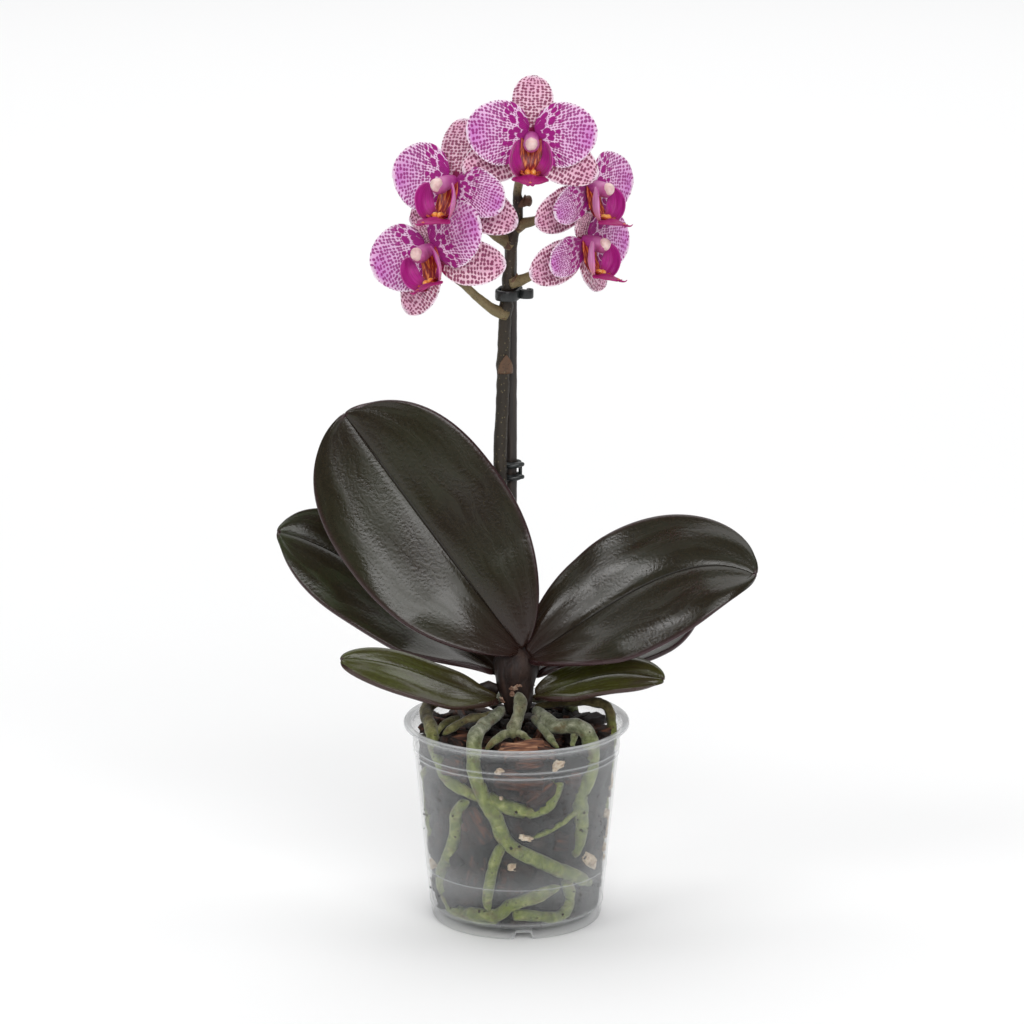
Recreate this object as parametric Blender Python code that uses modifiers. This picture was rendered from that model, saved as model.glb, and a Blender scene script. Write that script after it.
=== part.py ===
"""Potted miniature moth orchid: leaves, aerial roots, a staked flower spike with
five blooms, bark mix and a clear pot. Lengths are in millimetres, and MM turns
them into metres where a mesh is made. The origin is on the pot's axis, in the
plane it stands on, and the top bloom faces -Y."""
import math

import bmesh
import bpy
import numpy as np
from mathutils import Matrix, Vector

MM = 0.001

# ---- driving dimensions -------------------------------------------------------
GAP = 0.3                  # clearance between pieces that touch
RIM_RADIUS = 30.0
POT_HEIGHT = 54.0
POT_FLOOR = 2.1            # underside of the raised floor
FLOOR_THICK = 0.6
FOOT_RADIUS = 22.1
WALL_LOW = 22.3            # inner radius of the wall, carried down to the table
WALL_SLOPE = 5.0 / 52.0    # how the inner radius grows with height
POT_STEPS = 48
HOLE_COUNT, HOLE_RING, HOLE_RADIUS = 5, 12.5, 2.6
NOTCH_COUNT, NOTCH_FIRST = 3, -85.5
MIX_TOP = 49.5
MIX_STEPS = 56
STICK_RADIUS = 1.6
STICK_FOOT, STICK_TOP = (-1.5, 14.6, 16.0), (-1.5, 10.6, 190.0)
LEAF_THICK, PETAL_THICK = 1.5, 0.6

# ---- colours: RGBA, roughness ---------------------------------------------------
PAINT = {
    "pot_plastic": ((0.86, 0.88, 0.88, 0.30), 0.2),
    "mix_bark": ((0.10, 0.055, 0.035, 1), 0.8),
    "leaf_green": ((0.055, 0.06, 0.03, 1), 0.3),
    "root_grey": ((0.30, 0.31, 0.22, 1), 0.7),
    "stem_brown": ((0.10, 0.055, 0.04, 1), 0.6),
    "spike_olive": ((0.16, 0.13, 0.07, 1), 0.55),
    "stick_dark": ((0.03, 0.022, 0.018, 1), 0.5),
    "clip_black": ((0.012, 0.013, 0.013, 1), 0.35),
    "sepal_pink": ((0.78, 0.50, 0.62, 1), 0.6),
    "petal_pink": ((0.72, 0.38, 0.62, 1), 0.6),
    "lip_magenta": ((0.42, 0.02, 0.18, 1), 0.45),
    "column_pink": ((0.75, 0.45, 0.58, 1), 0.5),
}

for old in list(bpy.data.objects):
    bpy.data.objects.remove(old, do_unlink=True)
ORCHID = bpy.data.collections.new("potted_orchid")
CUTTERS = bpy.data.collections.new("cutters")
for group in (ORCHID, CUTTERS):
    bpy.context.scene.collection.children.link(group)


# ---- makers ---------------------------------------------------------------------
def paint(slot):
    mat = bpy.data.materials.get(slot)
    if mat is None:
        colour, rough = PAINT[slot]
        mat = bpy.data.materials.new(slot)
        mat.use_nodes = True
        shader = mat.node_tree.nodes["Principled BSDF"]
        shader.inputs["Base Color"].default_value = colour
        shader.inputs["Roughness"].default_value = rough
        shader.inputs["Alpha"].default_value = colour[3]
    return mat


def add(name, data, slot, cutter=False):
    """A new object for this mesh or curve, as a sub-part or as a cutter."""
    data.materials.append(paint(slot))
    ob = bpy.data.objects.new(name, data)
    (CUTTERS if cutter else ORCHID).objects.link(ob)
    if cutter:
        ob.hide_render = True
        ob.display_type = "WIRE"
    return ob


def as_mesh(ob):
    """The object again as a welded mesh, so that a Boolean can use it."""
    bpy.context.view_layer.update()
    evaluated = ob.evaluated_get(bpy.context.evaluated_depsgraph_get())
    mesh = bpy.data.meshes.new_from_object(evaluated)
    bm = bmesh.new()
    bm.from_mesh(mesh)
    bmesh.ops.remove_doubles(bm, verts=bm.verts, dist=0.001 * MM)
    bmesh.ops.recalc_face_normals(bm, faces=bm.faces)
    bm.to_mesh(mesh)
    bm.free()
    solid = bpy.data.objects.new(ob.name + "_mesh", mesh)
    solid.matrix_world = ob.matrix_world
    solid.hide_render = ob.hide_render
    solid.display_type = ob.display_type
    ob.users_collection[0].objects.link(solid)
    name = ob.name
    bpy.data.objects.remove(ob, do_unlink=True)
    solid.name = name
    return solid


def boolean(ob, other, operation):
    mod = ob.modifiers.new(other.name, "BOOLEAN")
    mod.operation = operation
    mod.object = other
    mod.solver = "EXACT"


def turned(name, profile, slot, steps, centre=(0, 0), closed=False, cutter=False):
    """A (radius, height) profile, listed down its outer side, turned about Z."""
    mesh = bpy.data.meshes.new(name)
    last = len(profile) - 1
    edges = [(i, i + 1) for i in range(last)] + ([(last, 0)] if closed else [])
    mesh.from_pydata([(r * MM, 0, z * MM) for r, z in profile], edges, [])
    ob = add(name, mesh, slot, cutter)
    ob.location = (centre[0] * MM, centre[1] * MM, 0)
    mod = ob.modifiers.new("turn", "SCREW")
    mod.steps = mod.render_steps = steps
    mod.use_merge_vertices = True
    mod.merge_threshold = 0.01 * MM
    return ob


def rod(name, points, radii, slot, resolution=2, cutter=False):
    """Round rod through the points, whose radius runs evenly through the radii."""
    curve = bpy.data.curves.new(name, "CURVE")
    curve.dimensions = "3D"
    curve.bevel_depth = MM
    curve.bevel_resolution = resolution
    curve.use_fill_caps = True
    line = curve.splines.new("POLY")
    line.points.add(len(points) - 1)
    spread = np.interp(np.linspace(0, 1, len(points)), np.linspace(0, 1, len(radii)), radii)
    for knot, place, radius in zip(line.points, points, spread):
        knot.co = (*(float(v) * MM for v in place), 1)
        knot.radius = float(radius)
    return add(name, curve, slot, cutter)


def sheet(name, shape, along, across, thick, slot):
    """Solidified grid whose point at (t, s), t in 0..1 and s in -1..1, is shape(t, s)."""
    bm = bmesh.new()
    bmesh.ops.create_grid(bm, x_segments=across, y_segments=along, size=1)
    for v in bm.verts:
        v.co = Vector(shape((v.co.y + 1) / 2, v.co.x)) * MM
    for face in bm.faces:
        face.smooth = True
    mesh = bpy.data.meshes.new(name)
    bm.to_mesh(mesh)
    bm.free()
    ob = add(name, mesh, slot)
    mod = ob.modifiers.new("thickness", "SOLIDIFY")
    mod.thickness = thick * MM
    mod.offset = 0
    return ob


def smooth_path(stops, count):
    """Evenly spread points on a Catmull-Rom curve through the stops."""
    p = np.asarray(stops, float)
    p = np.vstack([2 * p[0] - p[1], p, 2 * p[-1] - p[-2]])
    fine = []
    for a, b, c, d in zip(p, p[1:], p[2:], p[3:]):
        for t in np.linspace(0, 1, 12, endpoint=False):
            fine.append(0.5 * (2 * b + (c - a) * t + (2 * a - 5 * b + 4 * c - d) * t ** 2
                               + (3 * b - a - 3 * c + d) * t ** 3))
    fine = np.array(fine + [p[-2]])
    run = np.append(0, np.cumsum(np.linalg.norm(np.diff(fine, axis=0), axis=1)))
    places = np.linspace(0, run[-1], count)
    return np.stack([np.interp(places, run, fine[:, k]) for k in range(3)], 1)


def unit(v):
    return v / np.linalg.norm(v)


def bezier(stops, t):
    """Point and unit direction at t on a cubic Bezier curve."""
    p = np.asarray(stops, float)
    place = (1 - t) ** 3 * p[0] + 3 * (1 - t) ** 2 * t * p[1] + 3 * (1 - t) * t ** 2 * p[2] + t ** 3 * p[3]
    slope = (1 - t) ** 2 * (p[1] - p[0]) + 2 * (1 - t) * t * (p[2] - p[1]) + t ** 2 * (p[3] - p[2])
    return place, unit(slope)


def blade(u, s, mid, face, half, widest, base, tip, fold, camber, left=1.0, right=1.0):
    """Point of a leaf or petal. mid: its mid line; face: the way it faces at base and
    tip; half: half width, reached at widest; base: width there over half; tip: how
    blunt; fold: degrees of V fold at base, at a third and at the tip; camber: how far
    the rim curls back; left, right: width factors of the two sides."""
    t = 0.985 * (1 - (1 - u) ** 1.6)
    place, along = bezier(mid, t)
    up = (1 - t) * np.asarray(face[0], float) + t * np.asarray(face[1], float)
    up = unit(up - up.dot(along) * along)
    side = np.cross(along, up)
    if t > widest:
        wide = math.sqrt(1 - ((t - widest) / (1 - widest)) ** tip)
    else:
        wide = base + (1 - base) * (1 - ((widest - t) / widest) ** 2) ** 0.8
    out = s * half * wide * (right if s > 0 else left)
    bent = math.radians(np.interp(t, [0, 0.35, 1], fold))
    lift = abs(out) * math.sin(bent) - camber * half * s * s * wide ** 1.5
    return place + out * math.cos(bent) * side + lift * up


# ---- pot ------------------------------------------------------------------------
def wall_in(z):
    """Inner radius of the tapering wall at height z."""
    return WALL_LOW + WALL_SLOPE * z


def make_pot():
    rim, top, low = RIM_RADIUS, POT_HEIGHT, POT_FLOOR + FLOOR_THICK
    pot = turned("pot", [
        (0, low), (22.2, low), (wall_in(4.8), 4.8), (wall_in(28), 28), (wall_in(52), top - 2), (27.9, top),
        (rim - 0.3, top), (rim, top - 0.3), (rim, top - 0.9), (rim - 0.4, top - 1.4), (27.85, top - 1.8),
        (25.5, 28), (23.05, 3.9), (22.75, 1.2), (FOOT_RADIUS, 0), (FOOT_RADIUS - 0.8, 0),
        (FOOT_RADIUS - 0.9, POT_FLOOR), (0, POT_FLOOR)], "pot_plastic", POT_STEPS)
    bm = bmesh.new()
    spots = [(0, 0, HOLE_RADIUS + 0.4)]
    for k in range(HOLE_COUNT):
        a = math.radians(90 + 360 * k / HOLE_COUNT)
        spots.append((HOLE_RING * math.cos(a), HOLE_RING * math.sin(a), HOLE_RADIUS))
    for x, y, r in spots:
        bmesh.ops.create_cone(bm, cap_ends=True, segments=12, radius1=r * MM, radius2=r * MM,
                              depth=4 * MM, matrix=Matrix.Translation(Vector((x, y, 2.4)) * MM))
    for k in range(NOTCH_COUNT):
        turn = Matrix.Rotation(math.radians(NOTCH_FIRST + 360 * k / NOTCH_COUNT), 4, "Z")
        made = bmesh.ops.create_cube(bm, size=1)
        for v in made["verts"]:
            top_side = v.co.z > 0
            width = 3.7 if top_side else 6.3
            v.co = turn @ (Vector((22.7 + 3.6 * v.co.x, width * v.co.y, 2.0 if top_side else -1)) * MM)
    mesh = bpy.data.meshes.new("pot_openings")
    bm.to_mesh(mesh)
    bm.free()
    boolean(pot, add("pot_openings", mesh, "pot_plastic", cutter=True), "DIFFERENCE")


# ---- roots ----------------------------------------------------------------------
def against_wall(radius, *stops):
    """Stops (azimuth in degrees from the front, height) of a root lying on the wall."""
    out = []
    for azimuth, z in stops:
        reach = wall_in(z) - radius - GAP
        out.append((reach * math.sin(math.radians(azimuth)), -reach * math.cos(math.radians(azimuth)), z))
    return out


# name: radius, free stops above the mix, then stops along the wall
ROOTS = {
    "root_front_left": (2.1, [(-3.6, -3.8, 58.2), (-6.6, -9, 56.6), (-9.8, -14.5, 55.2), (-11, -18.4, 53.6)],
                        [(-27, 49.5), (-27, 46.5), (-21, 38.6), (-13, 33.2), (-8, 27.5), (3, 24), (21, 20.2),
                         (43, 15.7), (58, 12.7), (70, 10.5)]),
    "root_centre": (2.2, [(0.5, -5.7, 61.4), (0.8, -9, 58.6), (-0.4, -13, 55.4), (-1.5, -17, 53)], []),
    "root_front_right": (2.2, [(4.6, -3.4, 57.8), (7.2, -8.5, 56.8), (10, -12, 55.6), (15.5, -13.5, 56),
                               (18.6, -14.2, 54.2)],
                         [(54, 49), (54, 44.2), (50, 40.8), (45, 37), (47, 34), (49, 28.9), (48, 24),
                          (44, 20.5)]),
    "root_left_arch": (1.9, [(-4.7, 0.6, 58), (-13, 3.5, 59.2), (-21, 2.5, 58.6), (-24, -1.5, 56.5),
                             (-22.6, -8, 54)],
                       [(-60, 49.5), (-54, 46), (-49, 43.2), (-41, 41.4), (-34, 40.8)]),
    "root_left_thin": (1.2, [(-5, -2.2, 56.8), (-9, -5.5, 55.6), (-14.5, -7.5, 54), (-18.4, -8, 52.6)], []),
    "root_right_arch": (1.3, [(4.9, 1.2, 58.6), (13, 3, 59.4), (20.5, 3, 58.8), (24, 2, 56.5)],
                        [(92, 50), (92, 44), (97, 34), (86, 24), (92, 13)]),
    "root_low_left": (1.8, [], [(-32, 37.4), (-38, 35.6), (-43, 32), (-45, 27), (-52, 21.3), (-62, 16),
                                (-66, 10.8), (-58, 7.4)]),
    "root_low_front": (1.9, [], [(-43, 5.3), (-30, 5.5), (-15, 5.9), (-5, 8.7), (10, 10.8), (22, 12.4),
                                 (33, 13.2)]),
    "root_low_inner": (1.6, [], [(-13, 23.4), (-16, 20), (-19, 15.1), (-21, 11)]),
    "root_back_left": (2.0, [(-2.8, 4.6, 58.4), (-8, 12, 55.6), (-12, 18, 53.4)],
                       [(-146, 48), (-152, 36), (-140, 24), (-150, 12)]),
    "root_back_right": (1.9, [(3.7, 4.3, 58.4), (9.5, 12, 55.6), (14, 17.5, 53.2)],
                        [(141, 47), (150, 36), (136, 24), (120, 15)]),
    "root_left_wall": (1.7, [], [(-78, 42), (-94, 34), (-86, 24), (-100, 12)]),
}
ROOT_STEP = 4.2            # spacing of the rings of a root


def make_roots():
    """Makes the roots, and returns (x, y, z, radius) about every millimetre of them."""
    samples = []
    for name, (radius, free, along_wall) in ROOTS.items():
        stops = free + against_wall(radius, *along_wall)
        length = sum(math.dist(a, b) for a, b in zip(stops, stops[1:]))
        start = 0.8 if free else 0.6
        rod(name, smooth_path(stops, max(7, int(length / ROOT_STEP))),
            [radius * start] + [radius] * 8 + [radius * 0.5], "root_grey", resolution=1)
        fine = smooth_path(stops, int(length))
        samples.append(np.hstack([fine, np.full((len(fine), 1), radius)]))
    return np.vstack(samples)


# ---- bark mix, stem base, stick -----------------------------------------------------
def make_mix(samples):
    """Turned block, made lumpy and pushed in or down where a root lies against it."""
    walls = [(wall_in(z) - 0.5, z) for z in np.linspace(46.5, 3.3, 13)]
    top = [(0, MIX_TOP + 1), (6, MIX_TOP + 1.2), (11, MIX_TOP + 0.4), (16, MIX_TOP + 1), (21, MIX_TOP + 0.5)]
    profile = top + [(25.6, MIX_TOP)] + walls + [(0, 3.3)]
    mix = as_mesh(turned("potting_mix", profile, "mix_bark", MIX_STEPS))
    for v in mix.data.vertices:
        p = np.array(v.co) / MM
        reach, turn = math.hypot(p[0], p[1]), math.atan2(p[1], p[0])
        if reach < 1:
            continue
        radial = np.array([p[0], p[1], 0]) / reach
        bump = 0.6 * math.sin(7 * turn + 0.6 * p[2]) * math.sin(4 * turn - 0.4 * p[2] + reach)
        if p[2] < MIX_TOP - 1:
            inward = -radial
            p -= max(0.0, bump) * radial
        elif reach > 25:
            inward = unit(-radial - (0, 0, 0.9))
        else:
            inward = np.array([0, 0, -1.0])
            p[2] += bump
        offset = samples[:, :3] - p
        depth = offset @ inward
        aside = np.linalg.norm(offset - depth[:, None] * inward, axis=1)
        near = (aside < samples[:, 3] + 2.6) & (depth < 7) & (depth > -samples[:, 3] - 3)
        if near.any():
            p += inward * max(0.0, (samples[near, 3] + 0.8 + depth[near]).max())
        v.co = p * MM
    lean = (np.subtract(STICK_TOP, STICK_FOOT)) / (STICK_TOP[2] - STICK_FOOT[2])
    hole = [np.add(STICK_FOOT, lean * (z - STICK_FOOT[2])) for z in (14.5, 70.0)]
    cutter = as_mesh(rod("stick_hole", hole, [STICK_RADIUS + 0.45], "mix_bark", cutter=True))
    boolean(mix, cutter, "DIFFERENCE")


def make_stem_base():
    turned("stem_base", [(0, 70.7), (0.9, 70.4), (2.4, 69), (3.2, 66), (3.4, 63), (3.5, 59), (3.2, 56.4),
                         (2, 54.9), (0, 54.6)], "stem_brown", 12)


def make_stick():
    rod("support_stick", smooth_path([STICK_FOOT, STICK_TOP], 5), [STICK_RADIUS], "stick_dark", resolution=4)


def make_clips():
    """A flat band round spike and stick with a side tab, and a double ring lower down."""
    wall, inner, low, high = 0.9, 2.2, 165.6, 168.6
    spike, stick = Vector((-2.5, 6.8, 0)), Vector((-1.5, 11.1, 0))
    turn = math.atan2(stick.y - spike.y, stick.x - spike.x)
    curve = bpy.data.curves.new("clip_upper", "CURVE")
    curve.dimensions = "2D"
    curve.fill_mode = "BOTH"
    curve.extrude = (high - low) / 2 * MM
    for radius in (inner + wall, inner):
        line = curve.splines.new("POLY")
        line.points.add(19)
        line.use_cyclic_u = True
        for k, knot in enumerate(line.points):
            middle = spike if k < 10 else stick
            a = turn + math.pi / 2 + math.pi * (k % 10) / 9 + (0 if k < 10 else math.pi)
            knot.co = (*(middle + radius * Vector((math.cos(a), math.sin(a), 0))) * MM, 1)
    band = add("clip_upper", curve, "clip_black")
    band.location.z = (low + high) / 2 * MM
    band = as_mesh(band)
    bm = bmesh.new()
    bmesh.ops.create_cube(bm, size=MM, matrix=Matrix.Translation(Vector((2.4, 9.6, 0)) * MM)
                          @ Matrix.Diagonal((2.2, 3.2, 2.4, 1)))
    mesh = bpy.data.meshes.new("clip_tab")
    bm.to_mesh(mesh)
    bm.free()
    tab = add("clip_tab", mesh, "clip_black", cutter=True)
    tab.location.z = band.location.z
    boolean(band, tab, "UNION")
    beads = []
    for z in (121.6, 118.0):
        beads += [(2.7, z), (2.8, z - 0.8), (2.7, z - 1.6), (2.25, z - 1.8)]
    turned("clip_lower", [(1.95, 121.6)] + beads[:-1] + [(1.95, 116.4)], "clip_black", 16,
           centre=(-1.5, 12.25), closed=True)


# ---- leaves ---------------------------------------------------------------------
LEAVES = {
    "leaf_upper_left": dict(
        mid=[(-2.2, -0.2, 73), (-13, -0.5, 91.3), (-28.5, 3, 113.2), (-45, 8, 134.5)],
        face=[(0.1, -0.85, 0.5), (-0.2, -0.95, 0.25)], half=24.5, widest=0.56, base=0.11, tip=2.7,
        fold=(30, 12, 6), camber=0.10, left=0.97, right=0.97),
    "leaf_lower_left": dict(
        mid=[(-5, 3, 65.5), (-20, 13, 71.5), (-42, 20, 96), (-63.5, 18, 100.3)],
        face=[(0.4, -0.5, 0.75), (-0.3, -0.75, 0.6)], half=16, widest=0.55, base=0.16, tip=2.2,
        fold=(40, 14, 8), camber=0.12, right=0.9),
    "leaf_small_left": dict(
        mid=[(-5.4, -2.9, 60.2), (-16, -6.4, 62.6), (-30, -10, 74), (-45.5, -12, 73.5)],
        face=[(0.3, -0.5, 0.8), (-0.1, -0.6, 0.8)], half=10.5, widest=0.5, base=0.2, tip=2.0,
        fold=(40, 16, 10), camber=0.1, right=0.7),
    "leaf_upper_right": dict(
        mid=[(3.4, -1.8, 71.2), (20, -5, 82), (42, -8, 105), (62, -8, 95.5)],
        face=[(-0.35, -0.6, 0.7), (0.45, -0.65, 0.6)], half=19, widest=0.47, base=0.14, tip=2.3,
        fold=(36, 10, 6), camber=0.12, left=0.97, right=0.97),
    "leaf_lower_right": dict(
        mid=[(4.9, 2.8, 65), (19, 14, 67), (35, 17, 73), (49, 17, 81.5)],
        face=[(-0.4, -0.3, 0.8), (-0.2, -0.3, 0.9)], half=17, widest=0.5, base=0.16, tip=2.2,
        fold=(40, 14, 8), camber=0.12),
    "leaf_small_right": dict(
        mid=[(5.2, -2.9, 61), (14, -7, 65), (26, -11, 72.5), (38, -13, 68.5)],
        face=[(-0.3, -0.5, 0.8), (0.2, -0.6, 0.8)], half=8, widest=0.5, base=0.24, tip=2.0,
        fold=(40, 14, 8), camber=0.1, left=0.85, right=0.9),
}


def make_leaves():
    for name, form in LEAVES.items():
        sheet(name, lambda t, s, form=form: blade(t, s, **form), 11, 8, LEAF_THICK, "leaf_green")


# ---- flower spike -----------------------------------------------------------------
SPIKE = [(0.5, 6.4, 55.5), (0.8, 7, 66), (-1, 7.6, 84), (-3.6, 8, 104), (-4.4, 8, 121.8), (-3.7, 8, 138.8),
         (-3.3, 7.5, 154.9), (-2.6, 7, 165.7), (-1.6, 6, 176.4), (-1.2, 5.5, 181.8), (0.1, 5, 186.6),
         (0.4, 4, 191.2), (0.2, 3, 194.5), (0.8, 0, 198.5), (2.2, -5.5, 204.5), (3.5, -11.2, 209.6)]
SPIKE_RADII = [1.8, 1.75, 1.75, 1.8, 1.7, 1.65, 1.55, 1.1, 0.9]
PEDICELS = {
    "left_lower": [(-2.6, 6.8, 161.8), (-6, 5.6, 163.4), (-9.5, 3.8, 166.4), (-12.6, 0, 170),
                   (-17.3, -4.5, 175), (-20.2, -7.4, 179.4)],
    "right_lower": [(-1.6, 6, 170.4), (0.6, 5.6, 171), (3.5, 3, 172.7), (6.8, -1, 175.6),
                    (11.8, -3.5, 178.5), (15.4, -6.2, 182)],
    "left_upper": [(-1.3, 5.6, 180.2), (-3, 5.2, 181.6), (-5.6, 3, 183.5), (-8.9, 0, 186.9),
                   (-13, -4.4, 192), (-15.1, -7.9, 197)],
    "right_upper": [(-0.2, 5.2, 185), (1.6, 4.8, 186.2), (3.5, 3, 186.9), (6.3, 0, 188.4),
                    (12, -2, 192.2), (16.4, -4, 195.6)],
}
PEDICEL_RADII = [1.3, 1.1, 1, 0.9, 0.9]
BUD = [(0.4, 4, 191.5), (1.8, 3.6, 191.7), (2.9, 3.2, 192.3), (3.8, 3, 192.4)]
BRACT = [(-3.2, 6.6, 146.2), (-2.7, 6.1, 148.6), (-2.3, 5.9, 150.8)]


def make_spike():
    """Main stem with its pedicels, bud stub and bract grown on."""
    spike = as_mesh(rod("flower_spike", smooth_path(SPIKE, 34), SPIKE_RADII, "spike_olive", resolution=3))
    growths = [rod("pedicel_" + bloom, smooth_path(stops, 9), PEDICEL_RADII, "spike_olive", cutter=True)
               for bloom, stops in PEDICELS.items()]
    growths.append(rod("bud_stub", BUD, [0.8, 0.8, 1.3, 1], "spike_olive", cutter=True))
    growths.append(rod("bract", BRACT, [1.1, 1, 0.3], "spike_olive", cutter=True))
    for growth in growths:
        boolean(spike, as_mesh(growth), "UNION")


# ---- blooms: x to the right, z to the top sepal, facing -y ----------------------------
PETAL = dict(mid=[(1.9, -0.7, 0.5), (6, -1.2, 1.4), (11, -1.8, 2.2), (16, -1.6, 2.4)],
             face=[(0, -1, 0), (-0.15, -1, 0)], half=7.9, widest=0.52, base=0.17, tip=2.5,
             fold=(4, 4, 2), camber=0.08)
LATERAL = dict(mid=[(1.6, 0.7, -1.3), (5, 1.4, -3.8), (10, 3.2, -7), (15.2, 5, -9.2)],
               face=[(0, -1, 0), (0, -1, 0)], half=5.2, widest=0.52, base=0.24, tip=2.0,
               fold=(4, 5, 5), camber=0.12)
DORSAL = dict(mid=[(0, 0.7, 2.1), (0, 0.7, 6.5), (0, 2.4, 11.5), (0, 4, 16)],
              face=[(0, -1, 0), (0, -1, 0.1)], half=5.2, widest=0.6, base=0.26, tip=2.3,
              fold=(4, 5, 5), camber=0.12)
# Where blooms crowd each other: flatter laterals, shorter or swept top sepals, drooping petals.
FLAT = dict(LATERAL, mid=[(1.6, 0.7, -1.3), (5, 1, -3.8), (10, 1.5, -6.8), (15.2, 2, -8.8)], half=5)
SHORT = dict(DORSAL, mid=[(0, 0.7, 2.1), (0, 0.2, 4), (0, -0.4, 6), (0, -0.9, 8.4)], half=3.8)
SWEPT = dict(DORSAL, mid=[(0, 0.7, 2.1), (0, 1.3, 5), (0, 3.2, 8.5), (0, 5.6, 11.5)], half=4.6)
DROOP = dict(PETAL, mid=[(1.9, -0.7, -0.2), (6, -1.2, -1.2), (11, -1.6, -2.6), (15.5, -1.2, -4.2)], half=6.8)
TUCKED = dict(PETAL, mid=[(1.9, -0.7, -0.5), (6, -1.2, -3.2), (11, -1.6, -5.4), (15, -1.2, -7)], half=5)
LIP_MID = [(0, -1.9, -2.9), (0, -1.5, -9.2), (0, -6.5, -8.2), (0, -12, -9.8)]
LIP_STOPS = [0, .12, .28, .42, .52, .60, .70, .80, .90, .97, 1]
LIP_HALF = [1.4, 2.4, 6.0, 9.4, 8.2, 3.2, 4.4, 5.4, 4.2, 2.0, 1.0]
COLUMN = [(0, -0.2, 0.1), (0, -2.2, 0.2), (0, -4.6, 0), (0, -6.6, -0.6), (0, -7.9, -1.4)]
COLUMN_RADII = [1.1, 1.5, 1.9, 2, 1.3]
# bloom: centre; yaw, pitch, roll; size; top sepal, laterals, right petal, left petal
BLOOMS = {
    "top": ((3.7, -14, 210.6), (0, -3, 2), 1.0, DORSAL, FLAT, PETAL, PETAL),
    "left_upper": ((-16.2, -10, 198.6), (-34, -10, -4), 1.06, DORSAL, LATERAL, DROOP, PETAL),
    "left_lower": ((-21.6, -10, 181.1), (-34, -8, -18), 1.06, SHORT, LATERAL, DROOP, PETAL),
    "right_upper": ((18.2, -5.5, 196.8), (50, -8, 8), 0.98, SWEPT, LATERAL, PETAL, TUCKED),
    "right_lower": ((17.2, -8, 183), (50, -8, 12), 0.98, SHORT, LATERAL, PETAL, TUCKED),
}


def lip(t, s):
    """Gutter whose sides rise as side lobes, then a waist, then the flat mid lobe."""
    place, along = bezier(LIP_MID, t)
    up = np.array([0, -1, 1.0])
    up = unit(up - up.dot(along) * along)
    half = np.interp(t, LIP_STOPS, LIP_HALF)
    bend = np.interp(t, [0, .28, .42, .52, .60, .75, 1], [3.5, 4.7, 5, 5.2, 7, 12, 14])
    turn = s * half / bend
    return place + bend * math.sin(turn) * np.cross(along, up) + bend * (1 - math.cos(turn)) * up


def make_bloom(bloom, centre, angles, size, top, low, right, left):
    hub = bpy.data.objects.new("bloom_" + bloom, None)
    ORCHID.objects.link(hub)
    hub.location = Vector(centre) * MM
    hub.rotation_mode = "YXZ"
    yaw, pitch, roll = (math.radians(v) for v in angles)
    hub.rotation_euler = (pitch, roll, yaw)

    def piece(name, form, flip, along, across, slot):
        def shape(t, s):
            p = blade(t, s, **form) * size
            return (-p[0], p[1], p[2]) if flip else p
        sheet("bloom_%s_%s" % (bloom, name), shape, along, across, PETAL_THICK, slot).parent = hub

    piece("dorsal_sepal", top, False, 5, 4, "sepal_pink")
    piece("right_sepal", low, False, 5, 4, "sepal_pink")
    piece("left_sepal", low, True, 5, 4, "sepal_pink")
    piece("right_petal", right, False, 5, 5, "petal_pink")
    piece("left_petal", left, True, 5, 5, "petal_pink")
    tongue = sheet("bloom_%s_lip" % bloom, lambda t, s: lip(t, s) * size, 11, 7, PETAL_THICK, "lip_magenta")
    tongue.parent = hub
    column = rod("bloom_%s_column" % bloom, np.array(COLUMN) * size, COLUMN_RADII, "column_pink")
    column.parent = hub


make_pot()
make_mix(make_roots())
make_stem_base()
make_stick()
make_clips()
make_leaves()
make_spike()
for bloom, facts in BLOOMS.items():
    make_bloom(bloom, *facts)
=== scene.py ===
"""Looks of the potted miniature moth orchid. Shapes are worked out in millimetres,
and MM turns them into metres where a mesh is made."""
import math

import bmesh
import bpy
import numpy as np
from mathutils import Matrix, Vector, noise


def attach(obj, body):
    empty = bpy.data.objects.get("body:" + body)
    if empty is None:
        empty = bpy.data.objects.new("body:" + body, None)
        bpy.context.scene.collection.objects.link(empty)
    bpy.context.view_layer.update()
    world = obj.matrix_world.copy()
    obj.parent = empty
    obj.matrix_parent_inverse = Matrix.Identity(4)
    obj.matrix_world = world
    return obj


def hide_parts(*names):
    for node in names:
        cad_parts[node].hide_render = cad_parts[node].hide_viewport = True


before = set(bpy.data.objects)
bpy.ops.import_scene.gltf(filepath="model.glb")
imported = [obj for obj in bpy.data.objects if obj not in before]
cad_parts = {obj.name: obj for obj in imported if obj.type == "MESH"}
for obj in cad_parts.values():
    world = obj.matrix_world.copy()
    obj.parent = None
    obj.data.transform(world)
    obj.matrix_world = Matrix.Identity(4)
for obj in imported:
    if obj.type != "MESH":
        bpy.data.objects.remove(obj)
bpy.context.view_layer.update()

MM = 0.001
rng = np.random.default_rng(7)
noise.seed_set(7)


# ---- camera, light and floor ----
def aim(ob, target):
    ob.rotation_euler = (Vector(target) - ob.location).to_track_quat("-Z", "Y").to_euler()


def add(name, data):
    """New object in the scene."""
    ob = bpy.data.objects.new(name, data)
    bpy.context.scene.collection.objects.link(ob)
    return ob


def mesh_of(bm, name, smooth=True):
    """Mesh made from a BMesh, which is freed."""
    for face in bm.faces:
        face.smooth = smooth
    mesh = bpy.data.meshes.new(name)
    bm.to_mesh(mesh)
    bm.free()
    return mesh


def softbox(name, place, target, size, watts):
    lamp = bpy.data.lights.new(name, "AREA")
    lamp.shape = "RECTANGLE"
    lamp.size, lamp.size_y = size
    lamp.energy = watts
    ob = add(name, lamp)
    ob.location = place
    aim(ob, target)


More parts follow.
